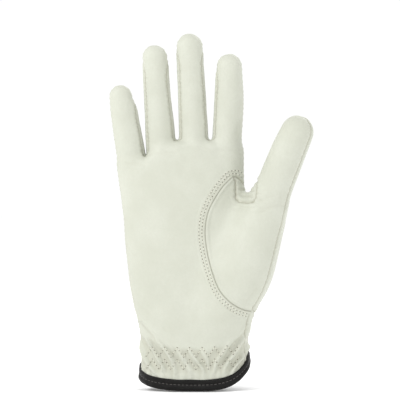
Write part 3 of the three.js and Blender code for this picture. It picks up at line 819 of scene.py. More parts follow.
class Panels:
    """The cut form with its relief: displaced points and normals for each panel."""

    def __init__(self):
        self.p, self.tris, self.panel, self.stretch = cut_panels()
        _, slope = gradient(hand_distance, self.p)
        self.normal = unit(slope)
        if (face_normals(self.p, self.tris) * self.normal[self.tris[:, 0]]).sum() < 0:
            self.tris = self.tris[:, ::-1]
        owners = np.zeros((PANEL_COUNT, len(self.p)), bool)
        for k in range(PANEL_COUNT):
            owners[k, self.tris[self.panel == k]] = True
        on_inset = owners[PALM_SIDE] & owners[THUMB_FRONT] & ~owners[GUSSET]
        self.seam = nearest_distance(self.p, self.p[owners.sum(0) > 1])
        self.inset = nearest_distance(self.p, self.p[on_inset])
        self.zigzag = zigzag_distance(self.p)
        cuff = wrist_relief(self.p) * (0.2 + 0.8 * ramp(self.seam, 0, 4))
        folds = cuff - 0.22 * bell(self.zigzag, 0, 0.8) + crotch_relief(self.p) + crease_relief(self.p)
        # How deep each point lies in a fold's valley: panel_piece paints shade there.
        self.dents = np.clip(-folds / 0.7, 0, 1)
        self.common = self.shared_relief() + self.smoothed(folds, 2)

    def smoothed(self, values, rounds):
        """Values evened out over neighbouring points."""
        a, b = triangle_edges(self.tris).T
        count = np.bincount(a, minlength=len(values)) + np.bincount(b, minlength=len(values))
        for _ in range(rounds):
            total = np.bincount(a, values[b], len(values)) + np.bincount(b, values[a], len(values))
            values = (values + total / np.maximum(count, 1)) / 2
        return values

    def shared_relief(self):
        """Soft unevenness, and small gathers beside the seams."""
        p = self.p
        cuff = 1 - ramp(p[:, 2], 34, 48)
        soft = waves(p, 4, 30) * 0.20 + waves(p, 9, 9) * 0.08
        gathers = np.sin(p[:, 2] * 2 * np.pi / 3.3 + 2 * np.sin(p[:, 2] * 0.21 + p[:, 0] * 0.3))
        seam_pucker = gathers * bell(self.seam, 0.9, 1.1) * 0.20 * (self.inset > 5)
        return soft * (1 - 0.5 * cuff) + seam_pucker

    def relief(self, panel):
        """A groove at each seam, but at the thumb seam a lapped palm edge over a welted thumb edge."""
        d, inset = self.seam, self.inset
        groove = -0.62 * bell(d, 0, 0.75) + 0.20 * bell(d, 2.3, 1.2)
        if panel not in (PALM_SIDE, THUMB_FRONT):
            return self.common + groove
        if panel == PALM_SIDE:
            edge = 0.34 * (1 - ramp(inset, 4.4, 6.0)) - 0.38 * self.seam_rows(0.55)
        else:
            edge = 0.42 * bell(inset, 1.5, 0.75) - 0.30 * bell(inset, 0, 0.6) - 0.12 * bell(inset, 3.4, 0.9)
        return self.common + groove * ramp(inset, 1.2, 2.4) * ramp(inset, 0, 2.4) + edge

    def seam_rows(self, width):
        """How close each point is to the thumb seam's two topstitch rows."""
        return bell(self.inset, SEAM_ROWS[0], width) + bell(self.inset, SEAM_ROWS[1], width)

    def part(self, panel):
        """The panel's points and normals, from the whole form's numbering."""
        tris = self.tris[self.panel == panel]
        moved = self.p + self.normal * self.relief(panel)[:, None]
        return moved, vertex_normals(moved, tris)


# ---- meshes with thickness ----

def thick_mesh(name, p, tris, normals, thickness, rest=None, painted_shade=None, outward=None):
    """A closed sheet: the outer triangles, the same ones moved in, and walls round the edge."""
    rest = p if rest is None else rest
    painted_shade = np.zeros(len(p)) if painted_shade is None else painted_shade
    outward = normals if outward is None else outward
    p, tris, normals, rest, painted_shade, outward = drop_unused(p, tris, normals, rest, painted_shade, outward)
    n = len(p)
    inner = p - outward * thickness
    edges = triangle_edges(tris)
    keys = edges.min(1) * n + edges.max(1)
    _, index, counts = np.unique(keys, return_index=True, return_counts=True)
    rim = edges[index[counts == 1]]
    a, b = rim.T
    walls = np.concatenate([np.stack([b, a, a + n], 1), np.stack([b, a + n, b + n], 1)])
    points = np.concatenate([p, inner])
    faces = np.concatenate([tris, tris[:, ::-1] + n, walls])
    flat = np.repeat(unit(face_normals(points, walls)), 3, axis=0)
    back = -normals[tris[:, ::-1]].reshape(-1, 3)
    corners = np.concatenate([normals[tris].reshape(-1, 3), back, flat])
    inside = np.repeat([0.0, 1.0], n)
    return make_mesh(name, points, faces, corners, np.tile(rest, (2, 1)), np.tile(painted_shade, 2), inside)


def make_mesh(name, points, faces, corners=None, rest=None, painted_shade=None, inside=None):
    mesh = bpy.data.meshes.new(name)
    faces = faces.tolist() if isinstance(faces, np.ndarray) else faces
    mesh.from_pydata((np.asarray(points) * MM).tolist(), [], faces)
    mesh.polygons.foreach_set("use_smooth", np.ones(len(mesh.polygons), bool))
    if corners is not None:
        mesh.normals_split_custom_set(corners.tolist())
    none = np.zeros(len(points))
    add_attribute(mesh, "rest", "FLOAT_VECTOR", "vector", points if rest is None else rest)
    add_attribute(mesh, "painted_shade", "FLOAT", "value", none if painted_shade is None else painted_shade)
    add_attribute(mesh, "inside", "FLOAT", "value", none if inside is None else inside)
    return mesh


def add_attribute(mesh, name, kind, field, values):
    attribute = mesh.attributes.new(name, kind, "POINT")
    attribute.data.foreach_set(field, np.asarray(values, np.float32).ravel())


def linked(obj):
    bpy.context.scene.collection.objects.link(obj)
    return obj


def piece(mesh, material):
    """An object for a finished mesh, with its material."""
    obj = linked(bpy.data.objects.new(mesh.name, mesh))
    mesh.materials.append(MATERIALS[material])
    return obj


def carried(obj, body="hand", fold=None):
    """The piece rides on a body, or, given a fold, is only fixed in place where it stands."""
    if fold is None:
        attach(obj, body)
    else:
        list(fold.ends())
        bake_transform(obj)
    return obj


# ---- materials ----

class Nodes:
    """A short way to write a material's node tree."""

    def __init__(self, name):
        self.material = bpy.data.materials.new(name)
        self.material.use_nodes = True
        self.tree = self.material.node_tree
        self.shader = self.tree.nodes["Principled BSDF"]
        self.rest = self.attribute("rest", "Vector")

    def add(self, kind, inputs=None, **settings):
        node = self.tree.nodes.new(kind)
        for key, value in settings.items():
            setattr(node, key, value)
        for key, value in (inputs or {}).items():
            if isinstance(value, bpy.types.NodeSocket):
                self.tree.links.new(value, node.inputs[key])
            else:
                node.inputs[key].default_value = value
        return node

    def link(self, output, name):
        self.tree.links.new(output, self.shader.inputs[name])

    def attribute(self, name, output):
        return self.add("ShaderNodeAttribute", attribute_name=name).outputs[output]

    def noise(self, scale, detail=2.0, roughness=0.5):
        values = {"Vector": self.rest, "Scale": scale, "Detail": detail, "Roughness": roughness}
        return self.add("ShaderNodeTexNoise", values).outputs["Fac"]

    def mix(self, share, a, b):
        return self.add("ShaderNodeMix", {0: share, 6: a, 7: b}, data_type="RGBA").outputs[2]

    def math(self, operation, a, b):
        return self.add("ShaderNodeMath", {0: a, 1: b}, operation=operation).outputs[0]

    def range(self, value, low, high, to_low=0.0, to_high=1.0):
        values = {"Value": value, "From Min": low, "From Max": high, "To Min": to_low, "To Max": to_high}
        return self.add("ShaderNodeMapRange", values).outputs["Result"]

    def bump(self, height, strength, distance):
        values = {"Height": height, "Strength": strength, "Distance": distance}
        self.link(self.add("ShaderNodeBump", values).outputs["Normal"], "Normal")

    def set(self, **values):
        for key, value in values.items():
            self.shader.inputs[key.replace("_", " ")].default_value = value


def tone(r, g, b):
    """A screen colour from 0 to 255, as linear light."""
    return [*(((v / 255 + 0.055) / 1.055) ** 2.4 if v > 10 else v / 3295 for v in (r, g, b)), 1.0]


PAINTED_SEAM_SHADE = (158, 155, 137)  # painted shade: a darker colour put on the leather down in its seams and creases, where shade falls


def leather_material(name, face, shade, lining):
    """Supple leather: pale and dark patches, painted shade in its seams, creases and fold valleys, pores, and
    a paler inside.
    """
    m = Nodes(name)
    mottle = m.range(m.noise(0.045, 3.0, 0.55), 0.35, 0.65)
    fine = m.range(m.noise(0.7, 3.0, 0.65), 0.3, 0.7)
    colour = m.mix(m.math("MULTIPLY", mottle, 0.55), tone(*face), tone(*shade))
    colour = m.mix(m.math("MULTIPLY", fine, 0.38), colour, tone(*shade))
    # Painted shade: the mask darkens the leather in its seams, creases, fold valleys and stitch channels.
    painted_shade_mix = m.range(m.attribute("painted_shade", "Fac"), 0.05, 0.95, 0.0, 0.55)
    colour = m.mix(painted_shade_mix, colour, tone(*PAINTED_SEAM_SHADE))
    colour = m.mix(m.attribute("inside", "Fac"), colour, tone(*lining))
    m.link(colour, "Base Color")
    cells = {"Vector": m.rest, "Scale": 1.5}
    pores = m.add("ShaderNodeTexVoronoi", cells, feature="DISTANCE_TO_EDGE").outputs["Distance"]
    grain = m.math("ADD", m.math("MULTIPLY", m.range(pores, 0.0, 0.16), 0.5), m.noise(2.6, 3.0, 0.6))
    m.bump(grain, 0.3, 0.0003)
    m.link(m.range(mottle, 0.0, 1.0, 0.50, 0.60), "Roughness")
    m.set(Specular_IOR_Level=0.32, Sheen_Weight=0.12, Sheen_Roughness=0.45)
    return m.material


def tape_material(name, dark, light, rough):
    """Woven tape: fine ribs across a dark ground."""
    m = Nodes(name)
    wave = {"Vector": m.rest, "Scale": 0.9, "Distortion": 1.2, "Detail": 2.0}
    ribs = m.add("ShaderNodeTexWave", wave).outputs["Fac"]
    speck = m.noise(1.6, 3.0, 0.7)
    m.link(m.mix(m.range(speck, 0.35, 0.7), tone(*dark), tone(*light)), "Base Color")
    m.bump(m.math("ADD", ribs, speck), 0.35, 0.00025)
    m.link(m.range(speck, 0.3, 0.7, rough - 0.08, rough + 0.08), "Roughness")
    m.set(Specular_IOR_Level=0.14, Sheen_Weight=0.02, Sheen_Roughness=0.4)
    return m.material


def thread_material(name, colour, shade):
    """Twisted thread: slanting strands with a soft shine, and painted shade in the darker bands between the
    strands.
    """
    m = Nodes(name)
    wave = {"Vector": m.rest, "Scale": 1.8, "Distortion": 0.4}
    twist = m.add("ShaderNodeTexWave", wave, bands_direction="DIAGONAL").outputs["Fac"]
    # Painted shade: the darker colour in the twist's bands between strands.
    m.link(m.mix(twist, tone(*colour), tone(*shade)), "Base Color")
    m.bump(twist, 0.3, 0.0001)
    m.set(Roughness=0.5, Specular_IOR_Level=0.4)
    return m.material


def pile_material(name, dark, light, scale):
    """Hook or loop pile: a dense field of small tufts."""
    m = Nodes(name)
    tufts = m.add("ShaderNodeTexVoronoi", {"Vector": m.rest, "Scale": scale}).outputs["Distance"]
    fuzz = m.noise(scale * 2.2, 3.0, 0.7)
    m.link(m.mix(m.math("MULTIPLY", fuzz, 0.9), tone(*dark), tone(*light)), "Base Color")
    m.bump(m.math("SUBTRACT", fuzz, tufts), 0.8, 0.0005)
    m.set(Roughness=0.9, Specular_IOR_Level=0.2, Sheen_Weight=0.4, Sheen_Roughness=0.6)
    return m.material


def plain_material(name, colour, shade):
    m = Nodes(name)
    m.link(m.mix(m.noise(0.3), tone(*colour), tone(*shade)), "Base Color")
    m.set(Roughness=0.75)
    return m.material


MATERIALS = {
    "leather": leather_material("leather", (194, 196, 184), (182, 184, 170), (170, 168, 154)),
    "tape": tape_material("binding_tape", (9, 8, 7), (26, 25, 24), 0.45),
    "elastic": tape_material("elastic_band", (205, 205, 196), (226, 226, 218), 0.7),
    "thread": thread_material("cream_thread", (226, 226, 214), (196, 195, 180)),
    "dark_thread": thread_material("dark_thread", (96, 93, 90), (58, 56, 54)),
    # Painted shade: dark beads put in the needle holes and vent holes, standing in for the shade inside them.
    "hole": plain_material("needle_hole_shade", (112, 107, 92), (88, 84, 70)),
    "loop": pile_material("loop_pile", (34, 34, 36), (70, 70, 73), 1.3),
    "hook": pile_material("hook_pile", (20, 20, 22), (52, 52, 56), 1.0),
}


# ---- the leather panels ----

PANELS = Panels()
PANEL_SHAPES = [PANELS.part(k) for k in range(PANEL_COUNT)]


def panel_piece(name, panel, stretch, nodes):
    """One stretch of a panel, as a closed sheet of leather: a first stretch rides on the hand, a digit's
    others are only fixed in place.
    """
    moved, normals = PANEL_SHAPES[panel]
    chosen = PANELS.tris[(PANELS.panel == panel) & (PANELS.stretch == stretch)]
    # Painted shade: a mask for darker colour along the seams (less at the thumb seam), in the palm's topstitch
    # channels, in fold and crease valleys and along the zigzag rows.
    painted_shade = bell(PANELS.seam, 0, 0.62) * (1 - 0.45 * bell(PANELS.inset, 0, 2.0))
    if panel == PALM_SIDE:
        painted_shade = np.maximum(painted_shade, 0.35 * PANELS.seam_rows(0.5))
    painted_shade = np.maximum(painted_shade, 0.5 * PANELS.dents)
    painted_shade = np.maximum(painted_shade, 0.42 * bell(PANELS.zigzag, 0, 0.6))
    mesh = thick_mesh(name, moved, chosen, normals, LEATHER, PANELS.p, painted_shade, PANELS.normal)
    obj = piece(mesh, "leather")
    fold = None if stretch == 0 else FOLDS[DIGITS[(stretch - 1) // 2]][(stretch - 1) % 2]
    carried(obj, fold=fold)
    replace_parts(obj, *nodes)


def build_panels():
    """Every panel, and for each digit its front, its back and its sides at both folds."""
    panel_piece("palm", PALM_SIDE, 0, ["palm_panel"])
    panel_piece("back", BACK_SIDE, 0, ["back_panel"])
    panel_piece("thumb_inset", THUMB_FRONT, 0, ["thumb_inset_front"])
    panel_piece("thumb_inset_rear", THUMB_BACK, 0, ["thumb_inset_back"])
    panel_piece("gusset", GUSSET, 0, ["thumb_gusset"])
    for gap, web in enumerate(WEB_NAMES):
        panel_piece(web.replace("_web", "_strip"), WEB + gap, 0, [web])
    for i, digit in enumerate(DIGITS):
        front, back = (THUMB_FRONT, THUMB_BACK) if digit == "thumb" else (PALM_SIDE, BACK_SIDE)
        gaps = (("left", i - 1), ("right", i)) if digit in FINGERS else ()
        sides = [(side, gap) for side, gap in gaps if 0 <= gap < len(WEB_NAMES)]
        for level, part in enumerate(("lower", "upper")):
            stretch = 1 + 2 * i + level
            panel_piece(f"{digit}_front_{part}", front, stretch, [f"{digit}_{part}_front"])
            panel_piece(f"{digit}_rear_{part}", back, stretch, [f"{digit}_{part}_back"])
            if digit == "thumb" and part == "lower":
                panel_piece("gusset_side_lower", GUSSET, stretch, [])
            for side, gap in sides:
                node = f"{digit}_{part}_fourchette_{side}"
                panel_piece(f"{digit}_side_{side}_{part}", WEB + gap, stretch, [node])


# ---- stitches ----

FRONT, BACK = -1, 1          # the way along Y that each side of the glove faces
STITCH_SECTIONS = (          # share of a stitch's length, its size there and its height there
    (0.0, 0.45, -0.9), (0.14, 0.9, 0.1), (0.5, 1.0, 0.35), (0.86, 0.9, 0.1), (1.0, 0.45, -0.9),
)
ROUND = 6                    # sides of a stitch and of a needle hole
THREADS = {                  # radius of each kind of stitch, and how far it bulges
    "topstitch": (0.30, 0.22), "zigzag": (0.26, 0.24), "binding": (0.26, 0.2), "slit": (0.24, 0.3),
    "closure": (0.27, 0.22),
}
TOPSTITCH_PITCH = 2.3
LONGEST_STITCH = 9.0         # longer than any step of the zigzag, so that each has one stitch
RAY_START = 70               # rays that look for the leather start this far in front or behind


def surface_tree(*panels):
    """The finished leather of some panels, ready to be hit by rays."""
    points = np.concatenate([PANEL_SHAPES[k][0] for k in panels])
    tris = [PANELS.tris[PANELS.panel == k] + i * len(PANELS.p) for i, k in enumerate(panels)]
    return BVHTree.FromPolygons(points.tolist(), np.concatenate(tris).tolist())


SURFACES = {FRONT: surface_tree(PALM_SIDE, THUMB_FRONT), BACK: surface_tree(BACK_SIDE, THUMB_BACK)}


def surface_at(x, z, side):
    """The point and outward normal on the finished leather in front of or behind (x, z)."""
    hit, normal, _, _ = SURFACES[side].ray_cast(Vector((x, side * RAY_START, z)), Vector((0, -side, 0)))
    if hit is None:
        return None
    if normal.y * side < 0:
        normal = -normal
    return np.array(hit), np.array(normal)


def walk(points, pitch):
    """Points spaced evenly along a line."""
    p = np.array(points, float)
    span = np.concatenate([[0], np.cumsum(np.linalg.norm(np.diff(p, axis=0), axis=1))])
    count = max(int(round(span[-1] / pitch)), 1)
    at = np.linspace(0, span[-1], count + 1)
    return np.stack([np.interp(at, span, p[:, i]) for i in range(p.shape[1])], 1)


def offset_line(line, distance):
    """A line in the plane moved sideways: positive to its left."""
    direction = unit(np.gradient(line, axis=0))
    return line + np.stack([-direction[:, 1], direction[:, 0]], 1) * distance


def ring_points(centre, across, other, radius):
    turns = [k * 2 * math.pi / ROUND for k in range(ROUND)]
    return [centre + (across * math.cos(turn) + other * math.sin(turn)) * radius for turn in turns]


def tube_faces(base, count, sides):
    """The faces of a closed tube whose sections follow each other from a first point."""
    faces = []
    for i in range(count - 1):
        for k in range(sides):
            a, b = base + i * sides + k, base + i * sides + (k + 1) % sides
            faces.append((a, b, b + sides, a + sides))
    faces.append([base + k for k in range(sides - 1, -1, -1)])
    faces.append([base + (count - 1) * sides + k for k in range(sides)])
    return faces


def stitch_mesh(name, stitches, radius, height):
    """One mesh of bowed, rounded stitches, each from point to point over the surface."""
    points, faces = [], []
    for start, end, normal, rise in stitches:
        along = end - start
        across = unit(np.cross(along, normal))
        base = len(points)
        for share, size, lift in STITCH_SECTIONS:
            centre = start + along * share + normal * (lift * height + rise * 4 * share * (1 - share))
            points.extend(ring_points(centre, across, normal, radius * size))
        faces.extend(tube_faces(base, len(STITCH_SECTIONS), ROUND))
    return make_mesh(name, np.array(points), faces)


def hole_mesh(name, holes, radius, sink=0.5, length=1.0):
    """One mesh of small flattened beads, half sunk in the leather, where the needle went in; their dark colour
    is painted shade inside the holes.
    """
    points, faces = [], []
    for centre, normal, along in holes:
        other = unit(np.cross(normal, along))
        across = np.cross(other, normal) * length
        base = len(points)
        points.append(centre + normal * radius * (0.5 - sink * 0.3))
        points.extend(ring_points(centre, across, other, radius))
        points.append(centre - normal * radius)
        for k in range(ROUND):
            a, b = base + 1 + k, base + 1 + (k + 1) % ROUND
            faces.append((base, a, b))
            faces.append((base + ROUND + 1, b, a))
    return make_mesh(name, np.array(points), faces)


def sewn(name, stitches, kind, thread="thread"):
    return carried(piece(stitch_mesh(name, stitches, *THREADS[kind]), thread))


def pricked(name, holes, radius, length):
    # The needle holes are dark beads: painted shade.
    carried(piece(hole_mesh(name, holes, radius, 0.5, length), "hole"))


def run_stitches(line, pitch, gap):
    """Stitches and needle holes down a line in X and Z on the palm side of the leather."""
    places = walk(line, pitch)
    spots = [surface_at(x, z, FRONT) for x, z in places]
    stitches = []
    for a, b in zip(spots[:-1], spots[1:]):
        if a is None or b is None or np.linalg.norm(b[0] - a[0]) > 2.5 * pitch:
            continue
        normal = unit(a[1] + b[1])
        middle = (a[0] + b[0]) / 2
        above = surface_at(middle[0], middle[2], FRONT)
        rise = 0.0 if above is None else max((above[0] - middle) @ normal, 0.0)
        inset = (b[0] - a[0]) * gap / 2
        stitches.append((a[0] + inset, b[0] - inset, normal, rise))
    steps = zip(spots, np.gradient(places, axis=0))
    return stitches, [(*spot, (x, 0.0, z)) for spot, (x, z) in steps if spot is not None]


def build_topstitch():
    seam = smooth_line([*THUMB_SEAM, (27.4, 141.6), (30.0, 139.6)], 1.0)
    for row, distance in enumerate(SEAM_ROWS, 1):
        stitches, holes = run_stitches(offset_line(seam, distance), TOPSTITCH_PITCH, 0.34)
        obj = sewn(f"thumb_topstitch_row_{row}", stitches, "topstitch")
        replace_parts(obj, f"thumb_topstitch_{row}")
        pricked(f"thumb_topstitch_holes_{row}", holes, 0.30, 2.0)


def build_zigzag():
    for row, name in enumerate(("lower", "upper")):
        corners = zigzag_points(row)
        stitches, holes = [], []
        for a, b in zip(corners[:-1], corners[1:]):
            found, spots = run_stitches([a, b], LONGEST_STITCH, 0.26)
            stitches += found
            holes += spots[:1]
        obj = sewn(f"zigzag_{name}", stitches, "zigzag")
        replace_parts(obj, f"zigzag_stitch_{name}")
        pricked(f"zigzag_holes_{name}", holes, 0.35, 1.5)


# ---- binding, elastic and wrist edge ----

WRIST_STEPS = 220
WRIST_CENTRE = np.array([-0.5, 0.8, 0.0])
TAPE_STITCH = 2.7            # length of the stitches that hold the binding tape
TAPE_GROOVE = {"hem": 7, "slit": 3}   # the row of each binding's section that its stitches lie in


def wrist_ring(rise):
    """Points round the form from one side of the slit to the other, and the outward direction at each."""
    gap = SLIT["low"] - 0.9
    first = math.atan2(20, SLIT["x"] - gap - WRIST_CENTRE[0])
    last = math.atan2(20, SLIT["x"] + gap - WRIST_CENTRE[0]) + 2 * np.pi
    turns = np.linspace(first, last, WRIST_STEPS)
    away = np.stack([np.cos(turns), np.sin(turns), np.zeros(WRIST_STEPS)], 1)
    p = WRIST_CENTRE + away * 30
    for _ in range(24):
        p[:, 2] = hem_height(p[:, 0], p[:, 1]) + rise
        p -= away * hand_distance(p)[:, None] * 0.9
    _, slope = gradient(hand_distance, p)
    slope[:, 2] = 0
    return p, unit(slope)


def swept_mesh(name, rows):
    """A closed strip: each row is one line of the section, run along the whole path."""
    grid = np.stack(rows, 1)
    return make_mesh(name, grid.reshape(-1, 3), tube_faces(0, *grid.shape[:2]))


def stitches_along(line, pitch, outward):
    """Stitches down a line of points, each facing the direction that outward gives for its middle."""
    spots = walk(line, pitch)
    middles = (spots[:-1] + spots[1:]) / 2
    ends = zip(spots[:-1], spots[1:], outward(middles))
    return [(a + (b - a) * 0.14, b - (b - a) * 0.14, normal, 0.0) for a, b, normal in ends]


def form_normals(p):
    return unit(gradient(hand_distance, p)[1])


def level_normals(p):
    """The outward direction with no rise or fall."""
    return unit((p - WRIST_CENTRE) * (1, 1, 0))


BINDING_SECTION = [          # height above the hem and distance out from the leather
    (6.9, 0.1), (6.95, 0.6), (6.6, 0.98), (5.9, 1.16), (5.0, 1.18), (4.2, 1.05), (3.7, 0.86), (3.45, 0.62),
    (3.2, 0.86), (2.8, 1.12), (2.1, 1.36), (1.2, 1.46), (0.3, 1.34), (-0.35, 0.9), (-0.65, 0.2),
    (-0.7, -0.6), (-0.4, -1.4), (0.3, -1.95), (1.4, -2.15), (3.2, -2.1), (5.2, -2.0), (6.5, -1.8),
    (6.8, -1.3), (6.6, -0.9),
]


def build_binding():
    rings, outs = [], []
    for rise, out in BINDING_SECTION:
        ring, away = wrist_ring(rise)
        ripple = waves(ring, 21, 11) * 0.16 + waves(ring, 22, 4.5) * 0.07
        pull = 0.18 * np.sin(ring[:, 0] * 2 * np.pi / 4.7) * (ring[:, 1] < 0)
        share = np.clip(out, 0, 1)
        ring = ring + away * (out + (ripple + pull * 0.5) * share)[:, None]
        ring[:, 2] += ripple * 0.5 * (rise > 5)
        rings.append(ring)
        outs.append(away)
    obj = carried(piece(swept_mesh("wrist_binding", rings), "tape"))
    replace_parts(obj, "hem_binding")
    groove = TAPE_GROOVE["hem"]
    stitches = stitches_along(rings[groove] + outs[groove] * 0.12, TAPE_STITCH, level_normals)
    sewn("binding_stitches", stitches, "binding", "dark_thread")


def form_depth(x, z, side):
    """The Y at which the bare form lies in front of or behind (x, z)."""
    x, z = np.broadcast_arrays(x, z)
    p = np.stack([x.ravel(), np.full(x.size, 40.0 * side), z.ravel()], 1)
    for _ in range(40):
        p[:, 1] -= hand_distance(p) * 0.95 * side
    return p[:, 1].reshape(x.shape)


SLIT_SECTION = [             # distance from the slit's edge over the leather, and out from it
    (3.1, 0.1), (3.0, 0.62), (2.3, 0.92), (1.7, 0.66), (1.0, 0.98), (0.1, 1.02), (-0.55, 0.6),
    (-0.8, -0.2), (-0.6, -1.1), (0.1, -1.55), (1.4, -1.7), (2.6, -1.55), (2.8, -0.9),
]


def slit_path(offset):
    """Points up one side of the wrist slit, over its top and down the other."""
    low, high, top = SLIT["low"] + offset, SLIT["high"] + offset, SLIT["top"]
    up = np.linspace(hem_height(0, 20) + 2.0, top, 40)
    width = low + (high - low) * (up / top)
    turns = np.linspace(0, np.pi, 15)[1:-1]
    arch = np.stack([np.cos(turns) * high, top + np.sin(turns) * high], 1)
    path = np.vstack([np.stack([width, up], 1), arch, np.stack([-width, up], 1)[::-1]])
    return path[:, 0] + SLIT["x"], path[:, 1]


def build_slit_binding():
    rows = []
    for side, out in SLIT_SECTION:
        x, z = slit_path(side)
        p = np.stack([x, form_depth(x, z, BACK), z], 1)
        over = 1 - ramp(z - hem_height(0, 20), 6.4, 8.6)
        out = out + 0.05 * waves(p, 31, 5) + over * (1.1 if out > 0 else -0.5)
        rows.append(p + form_normals(p) * out[:, None])
    obj = carried(piece(swept_mesh("slit_edge_binding", rows), "tape"))
    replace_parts(obj, "slit_binding")
    stitches = stitches_along(rows[TAPE_GROOVE["slit"]], TAPE_STITCH, form_normals)
    sewn("slit_stitches", stitches, "slit", "dark_thread")


def grid_triangles(rows, columns):
    i, k = np.meshgrid(np.arange(rows - 1), np.arange(columns - 1), indexing="ij")
    a = (i * columns + k).ravel()
    far = a + columns
    return np.concatenate([np.stack([a, a + 1, far + 1], 1), np.stack([a, far + 1, far], 1)])


def sheet_mesh(name, x, y, z, thickness, side):
    """A closed sheet over a grid of points, with its outer face to the front or back."""
    tris = grid_triangles(*x.shape)
    p = np.stack([x, y, z], 2).reshape(-1, 3)
    normals = vertex_normals(p, tris)
    if normals[:, 1].sum() * side < 0:
        tris = tris[:, ::-1]
        normals = -normals
    return thick_mesh(name, p, tris, normals, thickness)


ELASTIC = {"z": (12.5, 31.5), "x": (-30.5, 30.5), "inset": 2.3, "thickness": 0.8}


def build_elastic():
    """The gathered elastic band inside the palm side of the wrist."""
    up, across = np.linspace(*ELASTIC["z"], 24), np.linspace(*ELASTIC["x"], 110)
    z, x = np.meshgrid(up, across, indexing="ij")
    gathers = 0.35 * np.sin(x * 2 * np.pi / 3.1) + 0.15 * np.sin(z * 2.1)
    y = form_depth(x, z, FRONT) + ELASTIC["inset"] + gathers
    mesh = sheet_mesh("elastic_band", x, y, z, ELASTIC["thickness"], FRONT)
    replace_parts(carried(piece(mesh, "elastic")), "wrist_elastic")


# ---- back closure ----

TAB_MIDDLE, TAB_HALF = 44.0, 13.5            # height of the closure tab's middle, and half its width
TAB_ANCHOR, TAB_TIP, TAB_CORNER = 26.5, -31.0, 10.0
TAB_BEND = TAB_TIP + TAB_CORNER              # where the tab's rounded corners start
TAB_SEAM, TAB_THICKNESS = 1.9, 1.05          # its stitches' distance from its edge, and its thickness
TAB_RAISED, TAB_FALL = 3.3, 2.35             # it stands off the hand this far, less this where sewn down
PATCHES = {                  # X and Z from and to, height of the outer face off the hand, thickness
    "hook": ((-27.0, -12.5), (34.0, 54.0), 2.12, 0.75),
    "loop": ((-30.0, -10.3), (31.5, 56.5), 1.28, 1.2),
}


def tab_grid():
    """A grid of points over the closure tab, in X and Z."""
    straight = np.linspace(TAB_ANCHOR, TAB_BEND, 62)[:-1]
    tip = TAB_TIP + TAB_CORNER * (1 - np.sin(np.linspace(0, np.pi / 2 * 0.985, 13)))
    x = np.concatenate([straight, tip])
    round_off = np.clip((TAB_BEND - x) / TAB_CORNER, 0, 1)
    half = TAB_HALF - TAB_CORNER * (1 - np.sqrt(1 - round_off**2))
    z = TAB_MIDDLE + half[:, None] * np.linspace(-1, 1, 34)
    return np.broadcast_to(x[:, None], z.shape), z


def tab_edge(x, z):
    """How far a point of the tab is from its edge, up to the corner radius."""
    up = np.abs(z - TAB_MIDDLE) - TAB_HALF + TAB_CORNER
    return TAB_CORNER - np.hypot(np.maximum(TAB_BEND - x, 0), np.maximum(up, 0))


def tab_lift(x, z):
    """How far the tab's outer face stands off the leather."""
    raised = TAB_RAISED - TAB_FALL * ramp(x, 12.5, 21.5)
    return raised + 0.16 * np.sin(x * 0.21 + z * 0.17)


def build_closure():
    """The tab and its stitches, which bend where it is folded back, and the two patches under it."""
    x, z = tab_grid()
    edge = tab_edge(x, z)
    seam = -0.22 * bell(edge, TAB_SEAM, 0.5) - 0.35 * bell(edge, 0, 0.7)
    y = form_depth(x, z, BACK) + tab_lift(x, z) + seam
    obj = piece(sheet_mesh("closure_flap", x, y, z, TAB_THICKNESS, BACK), "leather")
    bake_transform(obj)
    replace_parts(obj, "closure_tab", "closure_tab_anchor")
    x, z = walk(closure_outline(), 1.2).T
    line = np.stack([x, form_depth(x, z, BACK) + tab_lift(x, z) - 0.18, z], 1)
    stitches = stitches_along(line, 2.4, form_normals)
    thread = piece(stitch_mesh("closure_flap_stitches", stitches, *THREADS["closure"]), "thread")
    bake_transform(thread)
    patch("hook", "tab", *PATCHES["hook"])
    patch("loop", "hand", *PATCHES["loop"])


def closure_outline():
    """A line just inside the tab's edge, from the anchor round the tip and back."""
    turns, radius = np.linspace(0, np.pi / 2, 9), TAB_CORNER - TAB_SEAM
    arc = np.stack([-np.sin(turns), np.cos(turns)], 1) * radius + (TAB_BEND, TAB_HALF - TAB_CORNER)
    upper = np.vstack([[(TAB_ANCHOR - 1.0, TAB_HALF - TAB_SEAM)], arc])
    return np.vstack([upper, upper[::-1] * (1, -1)]) + (0, TAB_MIDDLE)


def patch(pile, body, across, up, lift, thickness):
    """A rounded patch that follows the back of the hand."""
    x, corner = np.linspace(*across, 30), 2.5
    short = np.clip(corner - np.minimum(x - across[0], across[1] - x), 0, corner)
    half = (up[1] - up[0]) / 2 - (corner - np.sqrt(np.maximum(corner**2 - short**2, 0)))
    z = (up[0] + up[1]) / 2 + half[:, None] * np.linspace(-1, 1, 26)
    x = np.broadcast_to(x[:, None], z.shape)
    mesh = sheet_mesh(f"{pile}_pile_patch", x, form_depth(x, z, BACK) + lift, z, thickness, BACK)
    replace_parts(carried(piece(mesh, pile), body), f"{pile}_patch")


# ---- ventilation holes ----

def hole_field(centre, along, columns, rows, pitch):
    """Places of a staggered field of holes, in X and Z."""
    along = unit(np.array(along, float))
    across = np.array([along[1], -along[0]])
    places = []
    for i in range(rows):
        count = columns - i % 2
        for k in range(count):
            step = across * (k - (count - 1) / 2) * pitch + along * (i - (rows - 1) / 2) * pitch * 0.87
            places.append(np.array(centre) + step)
    return places


def punched(name, places, body):
    spots = [surface_at(x, z, BACK) for x, z in places]
    holes = [(*spot, (0.0, 0.0, 1.0)) for spot in spots if spot is not None]
    # The vent holes are dark beads on the leather: painted shade inside each hole.
    carried(piece(hole_mesh(name, holes, 0.42, 0.9), "hole"), body)


